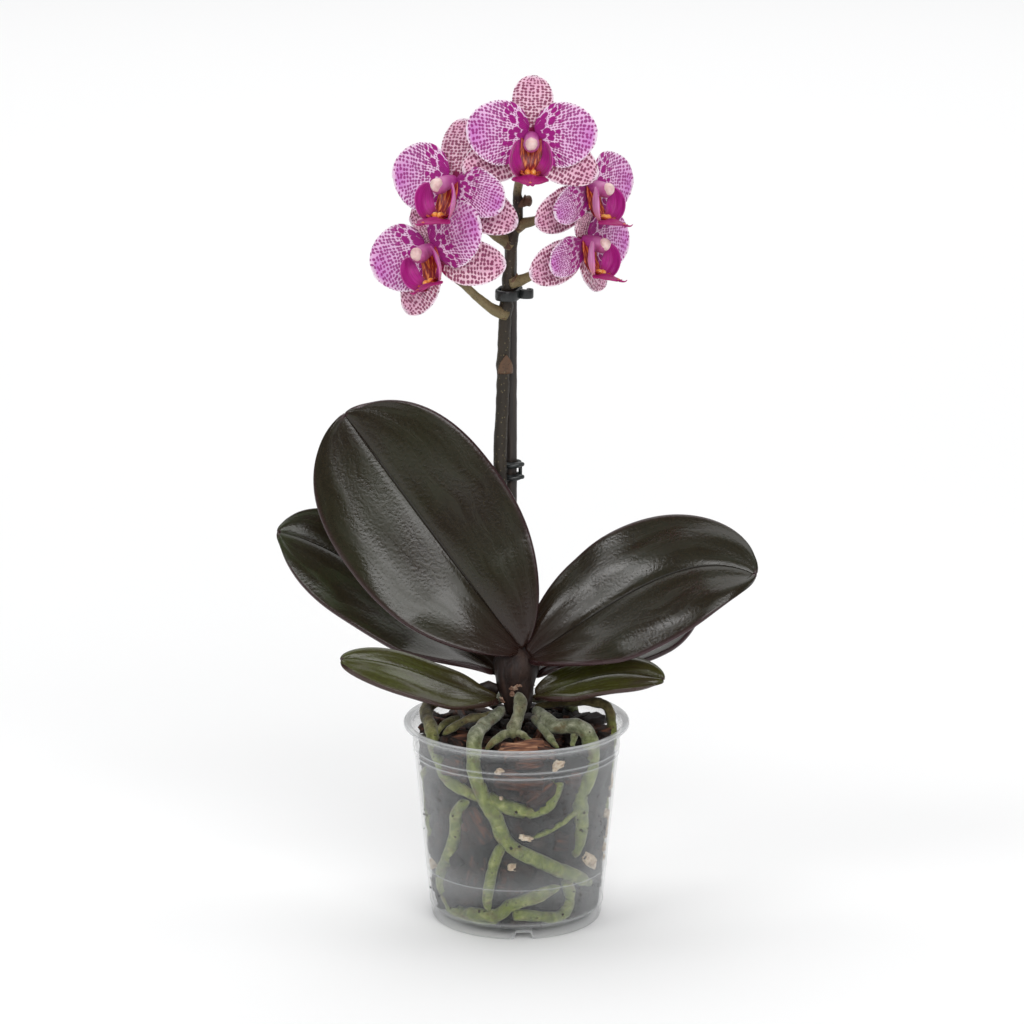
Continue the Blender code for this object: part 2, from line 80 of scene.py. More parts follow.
def make_studio():
    scene = bpy.context.scene
    lens = bpy.data.cameras.new("camera")
    lens.lens = 138
    lens.sensor_width = 36
    camera = add("camera", lens)
    camera.location = (-0.0012, -1.0, 0.355)
    camera.rotation_euler = (math.radians(90 - 13.74), 0, 0)
    scene.camera = camera

    scene.view_settings.view_transform = "Standard"
    world = bpy.data.worlds.new("studio")
    world.use_nodes = True
    background = world.node_tree.nodes["Background"].inputs
    background["Color"].default_value = (0.98, 0.99, 1, 1)
    background["Strength"].default_value = 0.22
    scene.world = world
    softbox("key", (0.35, -1.22, 0.90), (-0.02, 0, 0.11), (1.25, 0.56), 11.5)
    softbox("left", (-0.90, -0.65, 0.89), (0.02, 0, 0.1), (0.52, 0.26), 3.2)
    softbox("top", (0, 1.7, 2.3), (0, 1.7, 0), (4.4, 3.6), 86)

    bm = bmesh.new()
    bmesh.ops.create_grid(bm, x_segments=1, y_segments=1, size=30)
    floor = add("floor", mesh_of(bm, "floor", smooth=False))
    shade = Shader("floor_white", 0.1, {"Base Color": (0.93, 0.93, 0.93, 1), "Roughness": 0.9})
    floor.data.materials.append(shade.mat)


# ---- material graphs ----
class Shader:
    """One material and short calls that add nodes to it."""

    def __init__(self, name, specular, inputs=None):
        self.mat = bpy.data.materials.new(name)
        self.mat.use_nodes = True
        self.tree = self.mat.node_tree
        self.surface = self.tree.nodes["Principled BSDF"]
        self.put(self.surface, {"Specular IOR Level": specular, **(inputs or {})})
        self.place = self.tree.nodes.new("ShaderNodeTexCoord").outputs["Object"]

    def put(self, node, inputs):
        for key, value in inputs.items():
            if isinstance(value, bpy.types.NodeSocket):
                self.tree.links.new(value, node.inputs[key])
            else:
                node.inputs[key].default_value = value

    def node(self, kind, inputs, output=0, **settings):
        made = self.tree.nodes.new("ShaderNode" + kind)
        for key, value in settings.items():
            setattr(made, key, value)
        self.put(made, inputs)
        return made.outputs[output]

    def attribute(self, name, output="Fac"):
        return self.node("Attribute", {}, output, attribute_name=name)

    def stretch(self, vector, scale):
        return self.node("VectorMath", {0: vector, 1: scale}, operation="MULTIPLY")

    def join(self, x, y, z=0.0):
        return self.node("CombineXYZ", {0: x, 1: y, 2: z})

    def noise(self, scale, detail=3.0, vector=None, rough=0.55):
        return self.node("TexNoise", {"Scale": scale, "Detail": detail, "Roughness": rough,
                                      "Vector": vector or self.place})

    def cells(self, scale, randomness=1.0, vector=None, output="Distance", **settings):
        return self.node("TexVoronoi", {"Scale": scale, "Randomness": randomness,
                                        "Vector": vector or self.place}, output, **settings)

    def math(self, operation, a, b=0.0):
        return self.node("Math", {0: a, 1: b}, operation=operation)

    def plus(self, a, b):
        return self.math("ADD", a, b)

    def minus(self, a, b):
        return self.math("SUBTRACT", a, b)

    def times(self, a, b):
        return self.math("MULTIPLY", a, b)

    def larger(self, a, b):
        return self.math("MAXIMUM", a, b)

    def positive(self, a):
        return self.math("ABSOLUTE", a)

    def span(self, value, low, high, to_low=0.0, to_high=1.0):
        return self.node("MapRange", {0: value, 1: low, 2: high, 3: to_low, 4: to_high})

    def by_noise(self, pattern, low, high):
        """The usual values of a noise, 0.3 to 0.7, spread over low to high."""
        return self.span(pattern, 0.3, 0.7, low, high)

    def lines_along(self, wide, long, detail=3.0):
        """Streaks that run along a leaf or petal, then how far along and across it is."""
        along, across = self.attribute("along"), self.attribute("across")
        flow = self.join(self.times(across, wide), self.times(along, long))
        return self.noise(1.0, detail, flow), along, across

    def mix(self, factor, a, b):
        return self.node("Mix", {0: factor, 6: a, 7: b}, 2, data_type="RGBA")

    def ramp(self, value, *stops):
        made = self.tree.nodes.new("ShaderNodeValToRGB")
        self.put(made, {0: value})
        ramp = made.color_ramp
        while len(ramp.elements) < len(stops):
            ramp.elements.new(0.5)
        for element, (place, colour) in zip(ramp.elements, stops):
            element.position = place
            element.color = colour if isinstance(colour, tuple) else (colour, colour, colour, 1)
        return made.outputs[0]

    def bump(self, height, depth, strength=1.0, under=None):
        inputs = {"Height": height, "Distance": depth, "Strength": strength}
        if under:
            inputs["Normal"] = under
        return self.node("Bump", inputs)

    def finish(self, **inputs):
        names = {"colour": "Base Color", "rough": "Roughness", "normal": "Normal", "alpha": "Alpha"}
        self.put(self.surface, {names[key]: value for key, value in inputs.items()})
        return self.mat

    def finish_with(self, colour, pattern, rough, bump):
        """Finishes with a range of roughness and a bump that both follow one pattern."""
        return self.finish(colour=colour, rough=self.by_noise(pattern, *rough),
                           normal=self.bump(pattern, *bump))


def plain_skin(name, specular, pattern, stops, rough, bump, stretch=(1, 1, 1), inputs=None):
    """Material whose colour, roughness and bump follow one noise: scale, detail, rough."""
    g = Shader(name, specular, inputs)
    lines = g.noise(*pattern[:2], g.stretch(g.place, stretch), *pattern[2:])
    return g.finish_with(g.ramp(lines, *stops), lines, rough, bump)


def rgb(red, green, blue):
    """Linear colour of an sRGB one given in 0..255."""
    spread = [v / 255 for v in (red, green, blue)]
    return tuple(v / 12.92 if v <= 0.04045 else ((v + 0.055) / 1.055) ** 2.4 for v in spread) + (1,)


# ---- mesh makers ----
def piece(name, mesh, materials, slot, *nodes):
    """A shown piece on the plant, standing for these CAD nodes."""
    for mat in materials:
        mesh.materials.append(mat)
    ob = add(name, mesh)
    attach(ob, "root")
    if nodes:
        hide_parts(*nodes)
    return ob


def sheet(shape, along, across, marks=None, place=None):
    """Smooth grid mesh: the point at (t, s), t in 0..1, s in -1..1, is shape(t, s). It
    carries the floats along and across, and those that marks(t, s) names."""
    bm = bmesh.new()
    bmesh.ops.create_grid(bm, x_segments=across, y_segments=along, size=1)
    spots = [((v.co.y + 1) / 2, v.co.x) for v in bm.verts]
    values = [{"along": t, "across": s, **(marks(t, s) if marks else {})} for t, s in spots]
    layers = {key: bm.verts.layers.float.new(key) for key in values[0]}
    for v, (t, s), row in zip(bm.verts, spots, values):
        v.co = Vector(shape(t, s)) * MM
        for key, layer in layers.items():
            v[layer] = row[key]
    bmesh.ops.remove_doubles(bm, verts=bm.verts, dist=0.002 * MM)
    mesh = mesh_of(bm, "sheet")
    if place is not None:
        mesh.transform(place)
    return mesh


def thicken(ob, thick, rounded=1, under=0):
    solid = ob.modifiers.new("thickness", "SOLIDIFY")
    solid.thickness = thick * MM
    solid.offset = 0
    solid.material_offset = under
    if rounded:
        smooth = ob.modifiers.new("rounding", "SUBSURF")
        smooth.levels = smooth.render_levels = rounded


def as_mesh(ob):
    """The mesh that an unlinked or linked object evaluates to; the object is removed."""
    if not ob.users_collection:
        bpy.context.scene.collection.objects.link(ob)
    bpy.context.view_layer.update()
    evaluated = ob.evaluated_get(bpy.context.evaluated_depsgraph_get())
    mesh = bpy.data.meshes.new_from_object(evaluated)
    mesh.materials.clear()
    bpy.data.objects.remove(ob, do_unlink=True)
    return mesh


def turned(profile, steps):
    """Mesh of a (radius, height) profile, listed down its outer side, turned about Z."""
    mesh = bpy.data.meshes.new("profile")
    edges = [(i, i + 1) for i in range(len(profile) - 1)]
    mesh.from_pydata([(r * MM, 0, z * MM) for r, z in profile], edges, [])
    ob = bpy.data.objects.new("profile", mesh)
    mod = ob.modifiers.new("turn", "SCREW")
    mod.steps = mod.render_steps = steps
    mod.use_merge_vertices = True
    mod.merge_threshold = 0.005 * MM
    return as_mesh(ob)


def tube(points, radii, sides=5):
    """Mesh of a round tube through the points; radii is one value for each point."""
    curve = bpy.data.curves.new("tube", "CURVE")
    curve.dimensions = "3D"
    curve.bevel_depth = MM
    curve.bevel_resolution = sides
    curve.use_fill_caps = True
    line = curve.splines.new("POLY")
    line.points.add(len(points) - 1)
    for knot, place, radius in zip(line.points, points, radii):
        knot.co = (*(float(v) * MM for v in place), 1)
        knot.radius = float(radius)
    mesh = as_mesh(bpy.data.objects.new("tube", curve))
    line = np.asarray(points, float) * MM
    nearest = [int(((line - np.array(v.co)) ** 2).sum(1).argmin()) for v in mesh.vertices]
    layer = mesh.attributes.new("along", "FLOAT", "POINT")
    layer.data.foreach_set("value", [k / (len(line) - 1) for k in nearest])
    return mesh


def merged(*meshes):
    """One mesh of several, with their attributes kept."""
    bm = bmesh.new()
    for mesh in meshes:
        bm.from_mesh(mesh)
    bmesh.ops.remove_doubles(bm, verts=bm.verts, dist=0.0005 * MM)
    return mesh_of(bm, "merged")


def roughen(mesh, amount, size, seed=0.0):
    """Moves each vertex along its normal by noise of this amount and size in mm."""
    shift = Vector((seed, -seed, 2 * seed))
    normals = [v.normal.copy() for v in mesh.vertices]
    for v, normal in zip(mesh.vertices, normals):
        v.co += normal * amount * MM * noise.noise(v.co / (size * MM) + shift)
    mesh.update()


def rounded_ends(radii, blunt=3):
    """The same radii with both ends drawn in."""
    out = np.array(radii, float)
    for k in range(blunt):
        pull = math.sqrt(1 - (1 - (k + 0.35) / blunt) ** 2)
        out[k] *= pull
        out[-1 - k] *= pull
    return out


def smooth_path(stops, count):
    """Evenly spread points on a Catmull-Rom curve through the stops."""
    p = np.asarray(stops, float)
    p = np.vstack([2 * p[0] - p[1], p, 2 * p[-1] - p[-2]])
    fine = []
    for a, b, c, d in zip(p, p[1:], p[2:], p[3:]):
        for t in np.linspace(0, 1, 12, endpoint=False):
            fine.append(0.5 * (2 * b + (c - a) * t + (2 * a - 5 * b + 4 * c - d) * t ** 2
                               + (3 * b - a - 3 * c + d) * t ** 3))
    fine = np.array(fine + [p[-2]])
    run = np.append(0, np.cumsum(np.linalg.norm(np.diff(fine, axis=0), axis=1)))
    places = np.linspace(0, run[-1], count)
    return np.stack([np.interp(places, run, fine[:, k]) for k in range(3)], 1)


def spread(values, count):
    return np.interp(np.linspace(0, 1, count), np.linspace(0, 1, len(values)), values)


def unit(v):
    return v / np.linalg.norm(v)


def bezier(stops, t):
    """Point and unit direction at t on a cubic Bezier curve."""
    p = np.asarray(stops, float)
    place = (1 - t) ** 3 * p[0] + 3 * (1 - t) ** 2 * t * p[1] + 3 * (1 - t) * t ** 2 * p[2] + t ** 3 * p[3]
    slope = (1 - t) ** 2 * (p[1] - p[0]) + 2 * (1 - t) * t * (p[2] - p[1]) + t ** 2 * (p[3] - p[2])
    return place, unit(slope)


def width_at(t, widest, base, tip):
    if t > widest:
        return math.sqrt(max(0.0, 1 - ((t - widest) / (1 - widest)) ** tip))
    return base + (1 - base) * (1 - ((widest - t) / widest) ** 2) ** 0.8


def eased(u):
    """Spreads even steps so that they come closer together towards a leaf's tip."""
    return 1 - (1 - u) ** 1.6


def blade(u, s, mid, face, half, widest, base, tip, fold, camber,
          left=1.0, right=1.0, ripple=0.0, groove=0.0, seed=0.0):
    """Point of a leaf or petal. mid: its mid line; face: the way it faces at base and
    tip; half: half width, reached at widest; base: width there over half; tip: how
    blunt; fold: degrees of V fold at base, at a third and at the tip; camber: how far
    the rim curls back; left, right: width factors; ripple, groove: mm of waviness of
    the rim and of sinking of the midrib."""
    t = eased(u)
    place, along = bezier(mid, t)
    up = (1 - t) * np.asarray(face[0], float) + t * np.asarray(face[1], float)
    up = unit(up - up.dot(along) * along)
    side = np.cross(along, up)
    wide = width_at(t, widest, base, tip)
    out = s * half * wide * (right if s > 0 else left)
    bent = math.radians(np.interp(t, [0, 0.35, 1], fold))
    lift = abs(out) * math.sin(bent) - camber * half * s * s * wide ** 1.5
    lift += ripple * noise.noise(Vector((2.2 * s, 3.1 * t, seed))) * (0.25 + abs(s))
    lift -= groove * math.exp(-(out / 0.7) ** 2) * math.sqrt(wide)
    return place + out * math.cos(bent) * side + lift * up


# ---- pot ----
GAP = 0.3
WALL_LOW, WALL_SLOPE, WALL = 22.3, 5.0 / 52.0, 0.5
RINGS = (47.2, 45.6)
LOW_LINE = 14.1
NOTCHES = (-85.5, 34.5, 154.5)
NOTCH_TOP = 2.0


def wall_in(z):
    """Inner radius of the tapering wall at height z."""
    return WALL_LOW + WALL_SLOPE * z


def wall_out(z):
    return wall_in(z) + WALL


def plastic():
    """Thin clear plastic, a little milky, with scuffs, a film of dirt and mould lines."""
    g = Shader("clear_plastic", 0.7, {"IOR": 1.49, "Coat Weight": 0.4, "Coat Roughness": 0.08})
    haze = g.noise(60, 4)
    scuff = g.noise(420, 3, g.stretch(g.place, (1, 1, 0.12)), 0.7)
    edge = g.node("LayerWeight", {"Blend": 0.35}, "Facing")
    thick = g.attribute("thick")
    alpha = g.plus(g.span(haze, 0.3, 0.75, 0.02, 0.07), g.span(scuff, 0.6, 0.8, 0, 0.04))
    alpha = g.plus(alpha, g.times(thick, 0.38))
    alpha = g.plus(alpha, g.span(edge, 0.06, 0.45, 0, 0.15))
    alpha = g.plus(alpha, g.span(edge, 0.6, 1.0, 0, 0.26))
    colour = g.mix(haze, rgb(205, 208, 210), rgb(232, 234, 234))
    return g.finish(colour=colour, alpha=alpha, rough=g.span(scuff, 0.4, 0.8, 0.1, 0.32),
                    normal=g.bump(haze, 0.0004, 0.25))


def make_pot():
    lip = [(27.9, 53.2), (28.4, 53.75), (29.4, 54), (29.8, 53.85), (30, 53.5), (30, 53.0), (29.75, 52.75),
           (29.2, 52.7), (28.6, 52.55), (28.05, 52.0), (27.85, 51.2)]
    bead = [(0.02, 0.42), (0.16, 0.22), (0.22, 0), (0.14, -0.25), (-0.02, -0.45)]
    rings = [(wall_out(z) + out, z + up) for z in RINGS for out, up in bead]
    side = [(wall_out(z), z) for z in (44, 38, 32, 26, 20, 14.4)]
    side += [(wall_out(LOW_LINE) + 0.09, LOW_LINE)] + [(wall_out(z), z) for z in (13.8, 9, 4.9)]
    foot = [(23.34, 4.35), (23.26, 4.1), (22.98, 3.9), (22.94, 3.4), (22.8, 1.2), (22.5, 0.3), (22.2, 0.0),
            (21.5, 0.0), (21.3, 0.4), (21.25, 1.9), (21.0, 2.1), (0, 2.1)]
    hollow = [(27.9, 53.2), (27.45, 52.0)] + [(wall_in(z), z) for z in (50, 44, 36, 28, 20, 12, 5)]
    hollow += [(22.35, 3.8), (22.1, 3.0), (21.6, 2.7), (0, 2.7)]
    shell = merged(turned(lip + rings + side + foot, 180), turned(hollow, 180))
    layer = shell.attributes.new("thick", "FLOAT", "POINT")
    layer.data.foreach_set("value", [pot_thickness(v.co / MM) for v in shell.vertices])
    pot = add("pot_blank", shell)
    cutter = pot_openings()
    cut = pot.modifiers.new("openings", "BOOLEAN")
    cut.operation = "DIFFERENCE"
    cut.object = cutter
    cut.solver = "EXACT"
    made = as_mesh(pot)
    bpy.data.objects.remove(cutter, do_unlink=True)
    mark_notches(made)
    piece("clear_pot", made, [plastic()], "pot_plastic", "pot")


def pot_openings():
    """Cutter for the drain holes and for the notches in the foot, narrower at the top."""
    bm = bmesh.new()
    holes = [(0, 0, 3.0)] + [(12.5 * math.cos(a), 12.5 * math.sin(a), 2.6)
                             for a in np.radians(90 + 72 * np.arange(5))]
    for x, y, r in holes:
        bmesh.ops.create_cone(bm, cap_ends=True, segments=32, radius1=r * MM, radius2=r * MM,
                              depth=4 * MM, matrix=Matrix.Translation(Vector((x, y, 2.4)) * MM))
    for azimuth in NOTCHES:
        turn = Matrix.Rotation(math.radians(azimuth), 4, "Z")
        for v in bmesh.ops.create_cube(bm, size=1)["verts"]:
            wide, z = (3.7, NOTCH_TOP) if v.co.z > 0 else (6.3, -1)
            v.co = turn @ (Vector((22.7 + 3.6 * v.co.x, wide * v.co.y, z)) * MM)
    return add("openings", mesh_of(bm, "openings", smooth=False))


def mark_notches(mesh):
    """Shows the plastic as thick along the outline of each notch."""
    pitch = 2 * math.pi / len(NOTCHES)
    for v, row in zip(mesh.vertices, mesh.attributes["thick"].data):
        x, y, z = v.co / MM
        reach = math.hypot(x, y)
        turn = (math.atan2(y, x) - math.radians(NOTCHES[0]) + pitch / 2) % pitch - pitch / 2
        aside = abs(reach * math.sin(turn))
        slant = 3.15 - (z + 1) * 1.3 / 3
        on_side = abs(aside - slant) < 0.1
        on_top = z > NOTCH_TOP - 0.05 and aside < 1.95
        if z < NOTCH_TOP + 0.05 and reach > 20.8 and (on_side or on_top):
            row.value = 1.0


def pot_thickness(p):
    """How much plastic there is to look through: more at the rim, ridges and foot."""
    def peak(*heights, width=0.3):
        return max(math.exp(-((p.z - c) / width) ** 2) for c in heights)

    reach = math.hypot(p.x, p.y)
    if p.z > 51.5:
        return 0.35 + 0.65 * max(peak(53.9, width=0.35), peak(52.6))
    if p.z < 4.4 and reach > 21:
        return 0.06 + 0.55 * peak(4.1, width=0.25)
    return 0.9 * peak(*RINGS, LOW_LINE) if reach > wall_out(p.z) - 0.2 else 0.0


# ---- roots ----
def against_wall(radius, *stops, depth=0.0):
    """Stops (azimuth, height) of a root of this radius, this far behind the wall."""
    return [on_wall(azimuth, z, radius + GAP + depth) for azimuth, z in stops]


# name: radius, free stops above the mix, then stops along the wall (azimuth, height)
ROOTS = {
    "root_front_left": (2.1, [(-3.6, -3.8, 58.2), (-6.6, -9, 56.6), (-9.8, -14.5, 55.2),
                              (-11, -18.4, 53.6)],
                        [(-27, 49.5), (-27, 46.5), (-21, 38.6), (-13, 33.2), (-8, 27.5), (3, 24),
                         (21, 20.2), (43, 15.7), (58, 12.7), (70, 10.5)]),
    "root_centre": (1.9, [(0.3, -4.8, 62.4), (0.9, -7.4, 60.4), (0.6, -9.8, 58.2), (-0.6, -12.6, 55.8),
                          (-1.3, -15.5, 53.4)], []),
    "root_front_right": (2.2, [(4.6, -3.4, 57.8), (7.2, -8.5, 56.8), (10, -12, 55.6), (15.5, -13.5, 56),
                               (18.6, -14.2, 54.2)],
                         [(54, 49), (54, 44.2), (50, 40.8), (45, 37), (47, 34), (49, 28.9), (48, 24),
                          (44, 20.5)]),
    "root_left_arch": (1.9, [(-4.7, 0.6, 58), (-13, 3.5, 59.2), (-21, 2.5, 58.6), (-24, -1.5, 56.5),
                             (-22.6, -8, 54)],
                       [(-60, 49.5), (-54, 46), (-49, 43.2), (-41, 41.2), (-31, 39.8), (-23, 38.4)]),
    "root_left_thin": (1.25, [(-3.4, -4.4, 57), (-8, -7.6, 57), (-14, -9, 56), (-19.5, -10.4, 52.6)], []),
    "root_right_arch": (1.4, [(4.9, 0.2, 57.4), (13, 1.4, 58.2), (20.5, 2, 58), (24.4, 1, 56.5)],
                        [(92, 50), (92, 44), (97, 34), (86, 24), (92, 13)]),
    "root_low_left": (1.8, [], [(-32, 37.4), (-38, 35.6), (-43, 32), (-45, 27), (-52, 21.3), (-63, 16),
                                (-68, 10.6), (-60, 6.4), (-50, 4.9), (-42, 4.5)]),
    "root_low_front": (1.9, [], [(-43, 4.8), (-30, 5.5), (-15, 5.7), (-5, 8.9), (10, 10.8), (22, 12.4),
                                 (33, 13.2)]),
    "root_low_inner": (1.6, [], [(-9, 26.6), (-13, 23.4), (-16, 20), (-19, 15.1), (-21, 10), (-20, 7)]),
    "root_back_left": (2.0, [(-2.8, 4.6, 58.4), (-8, 12, 55.6), (-12, 18, 53.4)],
                       [(-146, 48), (-152, 36), (-140, 24), (-150, 12)]),
    "root_back_right": (1.9, [(3.7, 4.3, 58.4), (9.5, 12, 55.6), (14, 17.5, 53.2)],
                        [(141, 47), (150, 36), (136, 24), (120, 15)]),
    "root_left_wall": (1.7, [], [(-78, 42), (-94, 34), (-86, 24), (-100, 12)]),
}

# how brown a root is above the mix, where it isn't silvery
TAN_ROOTS = {"root_left_arch": 0.85, "root_right_arch": 1.0, "root_left_thin": 0.8, "root_centre": 0.4}
# forks of the free roots: radius, stops
SIDE_ROOTS = {
    "root_centre": [(1.2, [(-0.8, -14, 54.6), (-3.4, -16, 54.2), (-6.0, -18.4, 53.2), (-8.2, -20, 51.4)]),
                    (0.9, [(-0.4, -14.2, 54.6), (1.8, -16, 54.2), (4.4, -17.4, 52.6)])],
    "root_front_right": [(1.1, [(4.4, -6.4, 56.4), (6.2, -10, 55.4), (8.4, -15, 53.6), (10.6, -19, 51.8)]),
                         (1.0, [(16.5, -10, 54.4), (15.2, -13.5, 53.6), (14.6, -17, 51.6)])],
    "root_left_thin": [(1.0, [(-15, -1, 54.6), (-19, -5, 54.2), (-22, -9.4, 51.6)])],
}
# roots seen only through the wall: radius, how far behind it, stops along it
INNER_ROOTS = [
    (1.9, 1.4, [(-20, 38.9), (-8, 36.9), (7, 35.2), (20, 36.4), (26, 40), (27, 43.5)]),
    (1.6, 1.0, [(-64, 4.4), (-50, 4.4), (-36, 4.2), (-24, 4.3), (-15, 5)]),
    (1.5, 0.6, [(-3, 6.2), (8, 6.0), (17, 5.5), (27, 4.6), (36, 4.4)]),
    (1.6, 0.4, [(38, 14.4), (41.5, 11), (41.5, 8), (39, 5.6), (34, 4.6)]),
    (0.8, 1.6, [(44, 33.5), (30, 31), (17, 28.8), (8, 28.4)]),
]
ROOT_STEP = 0.55


def velamen():
    """Spongy root skin: silvery above the mix, green where the pot keeps it damp."""
    g = Shader("root_skin", 0.35, {"Sheen Weight": 0.25, "Sheen Roughness": 0.6})
    height = g.node("SeparateXYZ", {0: g.place}, 2)
    damp = g.span(height, 0.049, 0.056, 1, 0)
    blotch = g.noise(420, 4, None, 0.65)
    fine = g.noise(2600, 3)
    dry = g.ramp(blotch, (0.32, rgb(74, 78, 52)), (0.46, rgb(104, 110, 84)), (0.60, rgb(140, 144, 122)),
                 (0.74, rgb(178, 178, 162)))
    dull = g.ramp(blotch, (0.32, rgb(62, 54, 26)), (0.48, rgb(96, 86, 44)), (0.64, rgb(124, 116, 70)),
                  (0.80, rgb(156, 148, 108)))
    dry = g.mix(g.attribute("tan"), dry, dull)
    wet = g.ramp(blotch, (0.30, rgb(78, 90, 26)), (0.46, rgb(104, 116, 40)), (0.60, rgb(132, 142, 64)),
                 (0.76, rgb(168, 172, 112)))
    colour = g.mix(damp, dry, wet)
    stain = g.span(g.noise(210, 5, g.stretch(g.place, (1, 1, 1.6)), 0.7), 0.52, 0.68)
    colour = g.mix(g.times(stain, 0.75), colour, rgb(96, 70, 34))
    speck = g.span(g.cells(520, 1), 0.16, 0.11)
    colour = g.mix(g.times(speck, 0.8), colour, rgb(46, 36, 20))
    lumps = g.bump(blotch, 0.0007, 0.7)
    return g.finish(colour=colour, rough=g.by_noise(fine, 0.55, 0.85),
                    normal=g.bump(fine, 0.00018, 0.6, lumps))


def make_roots():
    """Makes the roots, and returns (x, y, z, radius) about every millimetre of them."""
    skin = velamen()
    samples = []
    for index, (name, (radius, free, along_wall)) in enumerate(ROOTS.items()):
        stops = free + against_wall(radius, *along_wall)
        length = sum(math.dist(a, b) for a, b in zip(stops, stops[1:]))
        count = int(length / ROOT_STEP)
        path = smooth_path(stops, count)
        start = [0.58, 0.8, 0.95] if free else [0.6, 1]
        radii = radius * spread(start + [0.93] * 7 + [0.8, 0.5], count)
        swell = [1 + 0.12 * noise.noise(Vector((k * 0.11, index, 0))) for k in range(count)]
        parts = [tube(path, rounded_ends(radii * swell, 4), 6)]
        for wide, ends in SIDE_ROOTS.get(name, []):
            taper = spread([wide, wide, 0.6 * wide], 26)
            parts.append(tube(smooth_path(ends, 26), rounded_ends(taper)))
        mesh = merged(*parts)
        roughen(mesh, 0.34, 2.6, index)
        roughen(mesh, 0.12, 0.9, index + 50)
        press_in(mesh)
        tan = mesh.attributes.new("tan", "FLOAT", "POINT")
        tan.data.foreach_set("value", [TAN_ROOTS.get(name, 0.15)] * len(mesh.vertices))
        piece(name + "_skin", mesh, [skin], "root_grey", name)
        # The centre root is so short that its own points serve better.
        fine = path[::2] if name == "root_centre" else smooth_path(stops, max(4, int(length)))
        samples.append(np.hstack([fine, np.full((len(fine), 1), radius)]))
    inner = []
    for radius, depth, stops in INNER_ROOTS:
        path = smooth_path(against_wall(radius, *stops, depth=depth), 90)
        inner.append(tube(path, rounded_ends([radius] * 90, 4), 6))
        samples.append(np.hstack([path[::2], np.full((45, 1), radius)]))
    mesh = merged(*inner)
    roughen(mesh, 0.3, 2.6, 70)
    piece("roots_inner", mesh, [skin], "root_grey")
    return np.vstack(samples)


def press_in(mesh, gap=0.06):
    """Keeps every vertex of this mesh that is below the rim inside the pot's wall."""
    for v in mesh.vertices:
        z = v.co.z / MM
        reach = math.hypot(v.co.x, v.co.y) / MM
        limit = min(wall_in(min(z, 52)), 22.4 + max(0, z - 3.9)) - gap
        if z < 52.5 and reach > limit:
            v.co.x *= limit / reach
            v.co.y *= limit / reach
        v.co.z = max(v.co.z, 2.8 * MM)


# ---- bark mix ----
MIX_TOP = 49.5
WALL_CHIPS, TOP_CHIPS = 130, 95
# azimuth, height, depth behind the wall, size, roll, tone
SEEN_CHIPS = [(2, 44.5, 1.6, (12, 2.2, 5), 0.1, 0.47), (14, 40.5, 1.7, (8, 2.4, 4.6), -0.5, 0.4),
              (-26, 31, 1.7, (9, 2.4, 5), 1.0, 0.44), (-3, 16, 2.4, (7, 2.2, 6), 0.2, 0.46)]
# azimuth, height, depth behind the wall, size
GRAINS = [(6, 28.6, 0.7, (2.6, 1.2, 1.9)), (3.4, 29.2, 0.7, (1.4, 1, 1.2)),
          (-3, 20.4, 0.7, (1.9, 1.2, 1.7)), (-9, 40, 0.5, (0.9, 0.6, 0.9)),
          (-76, 15.6, 1.0, (3.4, 1.4, 2.6)), (25, 48, 1.4, (2.6, 1.4, 3)), (-10, 47.2, 1.2, (2, 1.2, 1.6))]
FLAT_GRAIN = (58, 18.4, 1.1, (5.2, 1.5, 2.9), 0.6)
# patches of crumbs: azimuth, height, how far they spread each way, how many
CRUMBS = [(-53, 36, 4, 3, 5), (-73, 29, 3, 3, 5), (60, 31, 5, 4, 8), (67, 26, 3, 3, 4), (30, 38.4, 5, 4, 7),
          (44, 32, 5, 4, 6), (-70, 12, 14, 6, 10), (45, 9, 20, 5, 10), (180, 30, 70, 16, 40),
          (0, 26, 40, 16, 14), (-15, 9, 30, 4, 6)]


def humus():
    g = Shader("humus", 0.3)
    lumps = g.noise(170, 3, None, 0.6)
    crumbs = g.noise(560, 1)
    colour = g.ramp(lumps, (0.34, rgb(9, 8, 7)), (0.5, rgb(24, 19, 16)), (0.66, rgb(52, 37, 31)),
                    (0.8, rgb(84, 62, 48)))
    fleck = g.span(g.cells(700, 1), 0.13, 0.08)
    colour = g.mix(g.times(fleck, 0.25), colour, rgb(120, 104, 84))
    rough = g.bump(crumbs, 0.0006, 0.5)
    return g.finish(colour=colour, rough=g.by_noise(lumps, 0.6, 0.95),
                    normal=g.bump(lumps, 0.0016, 0.8, rough))


def bark():
    """Bark chips with lengthwise fibres; the attribute tone runs from dark to reddish."""
    g = Shader("bark", 0.35)
    grain = g.attribute("grain", "Vector")
    fibres = g.noise(1.0, 2.5, g.stretch(grain, (0.14, 1.2, 1.2)), 0.55)
    tone = g.plus(g.attribute("tone"), g.by_noise(fibres, -0.28, 0.28))
    colour = g.ramp(tone, (0.1, rgb(20, 15, 13)), (0.38, rgb(44, 29, 24)), (0.6, rgb(82, 52, 40)),
                    (0.8, rgb(124, 82, 60)), (1.0, rgb(176, 134, 104)))
    return g.finish_with(colour, fibres, (0.6, 0.9), (0.0008, 0.8))


def perlite():
    stops = (0.35, rgb(176, 150, 122)), (0.55, rgb(216, 196, 168)), (0.7, rgb(232, 222, 204))
    return plain_skin("perlite", 0.3, (900, 4), stops, (0.7, 0.95), (0.0005, 0.8))


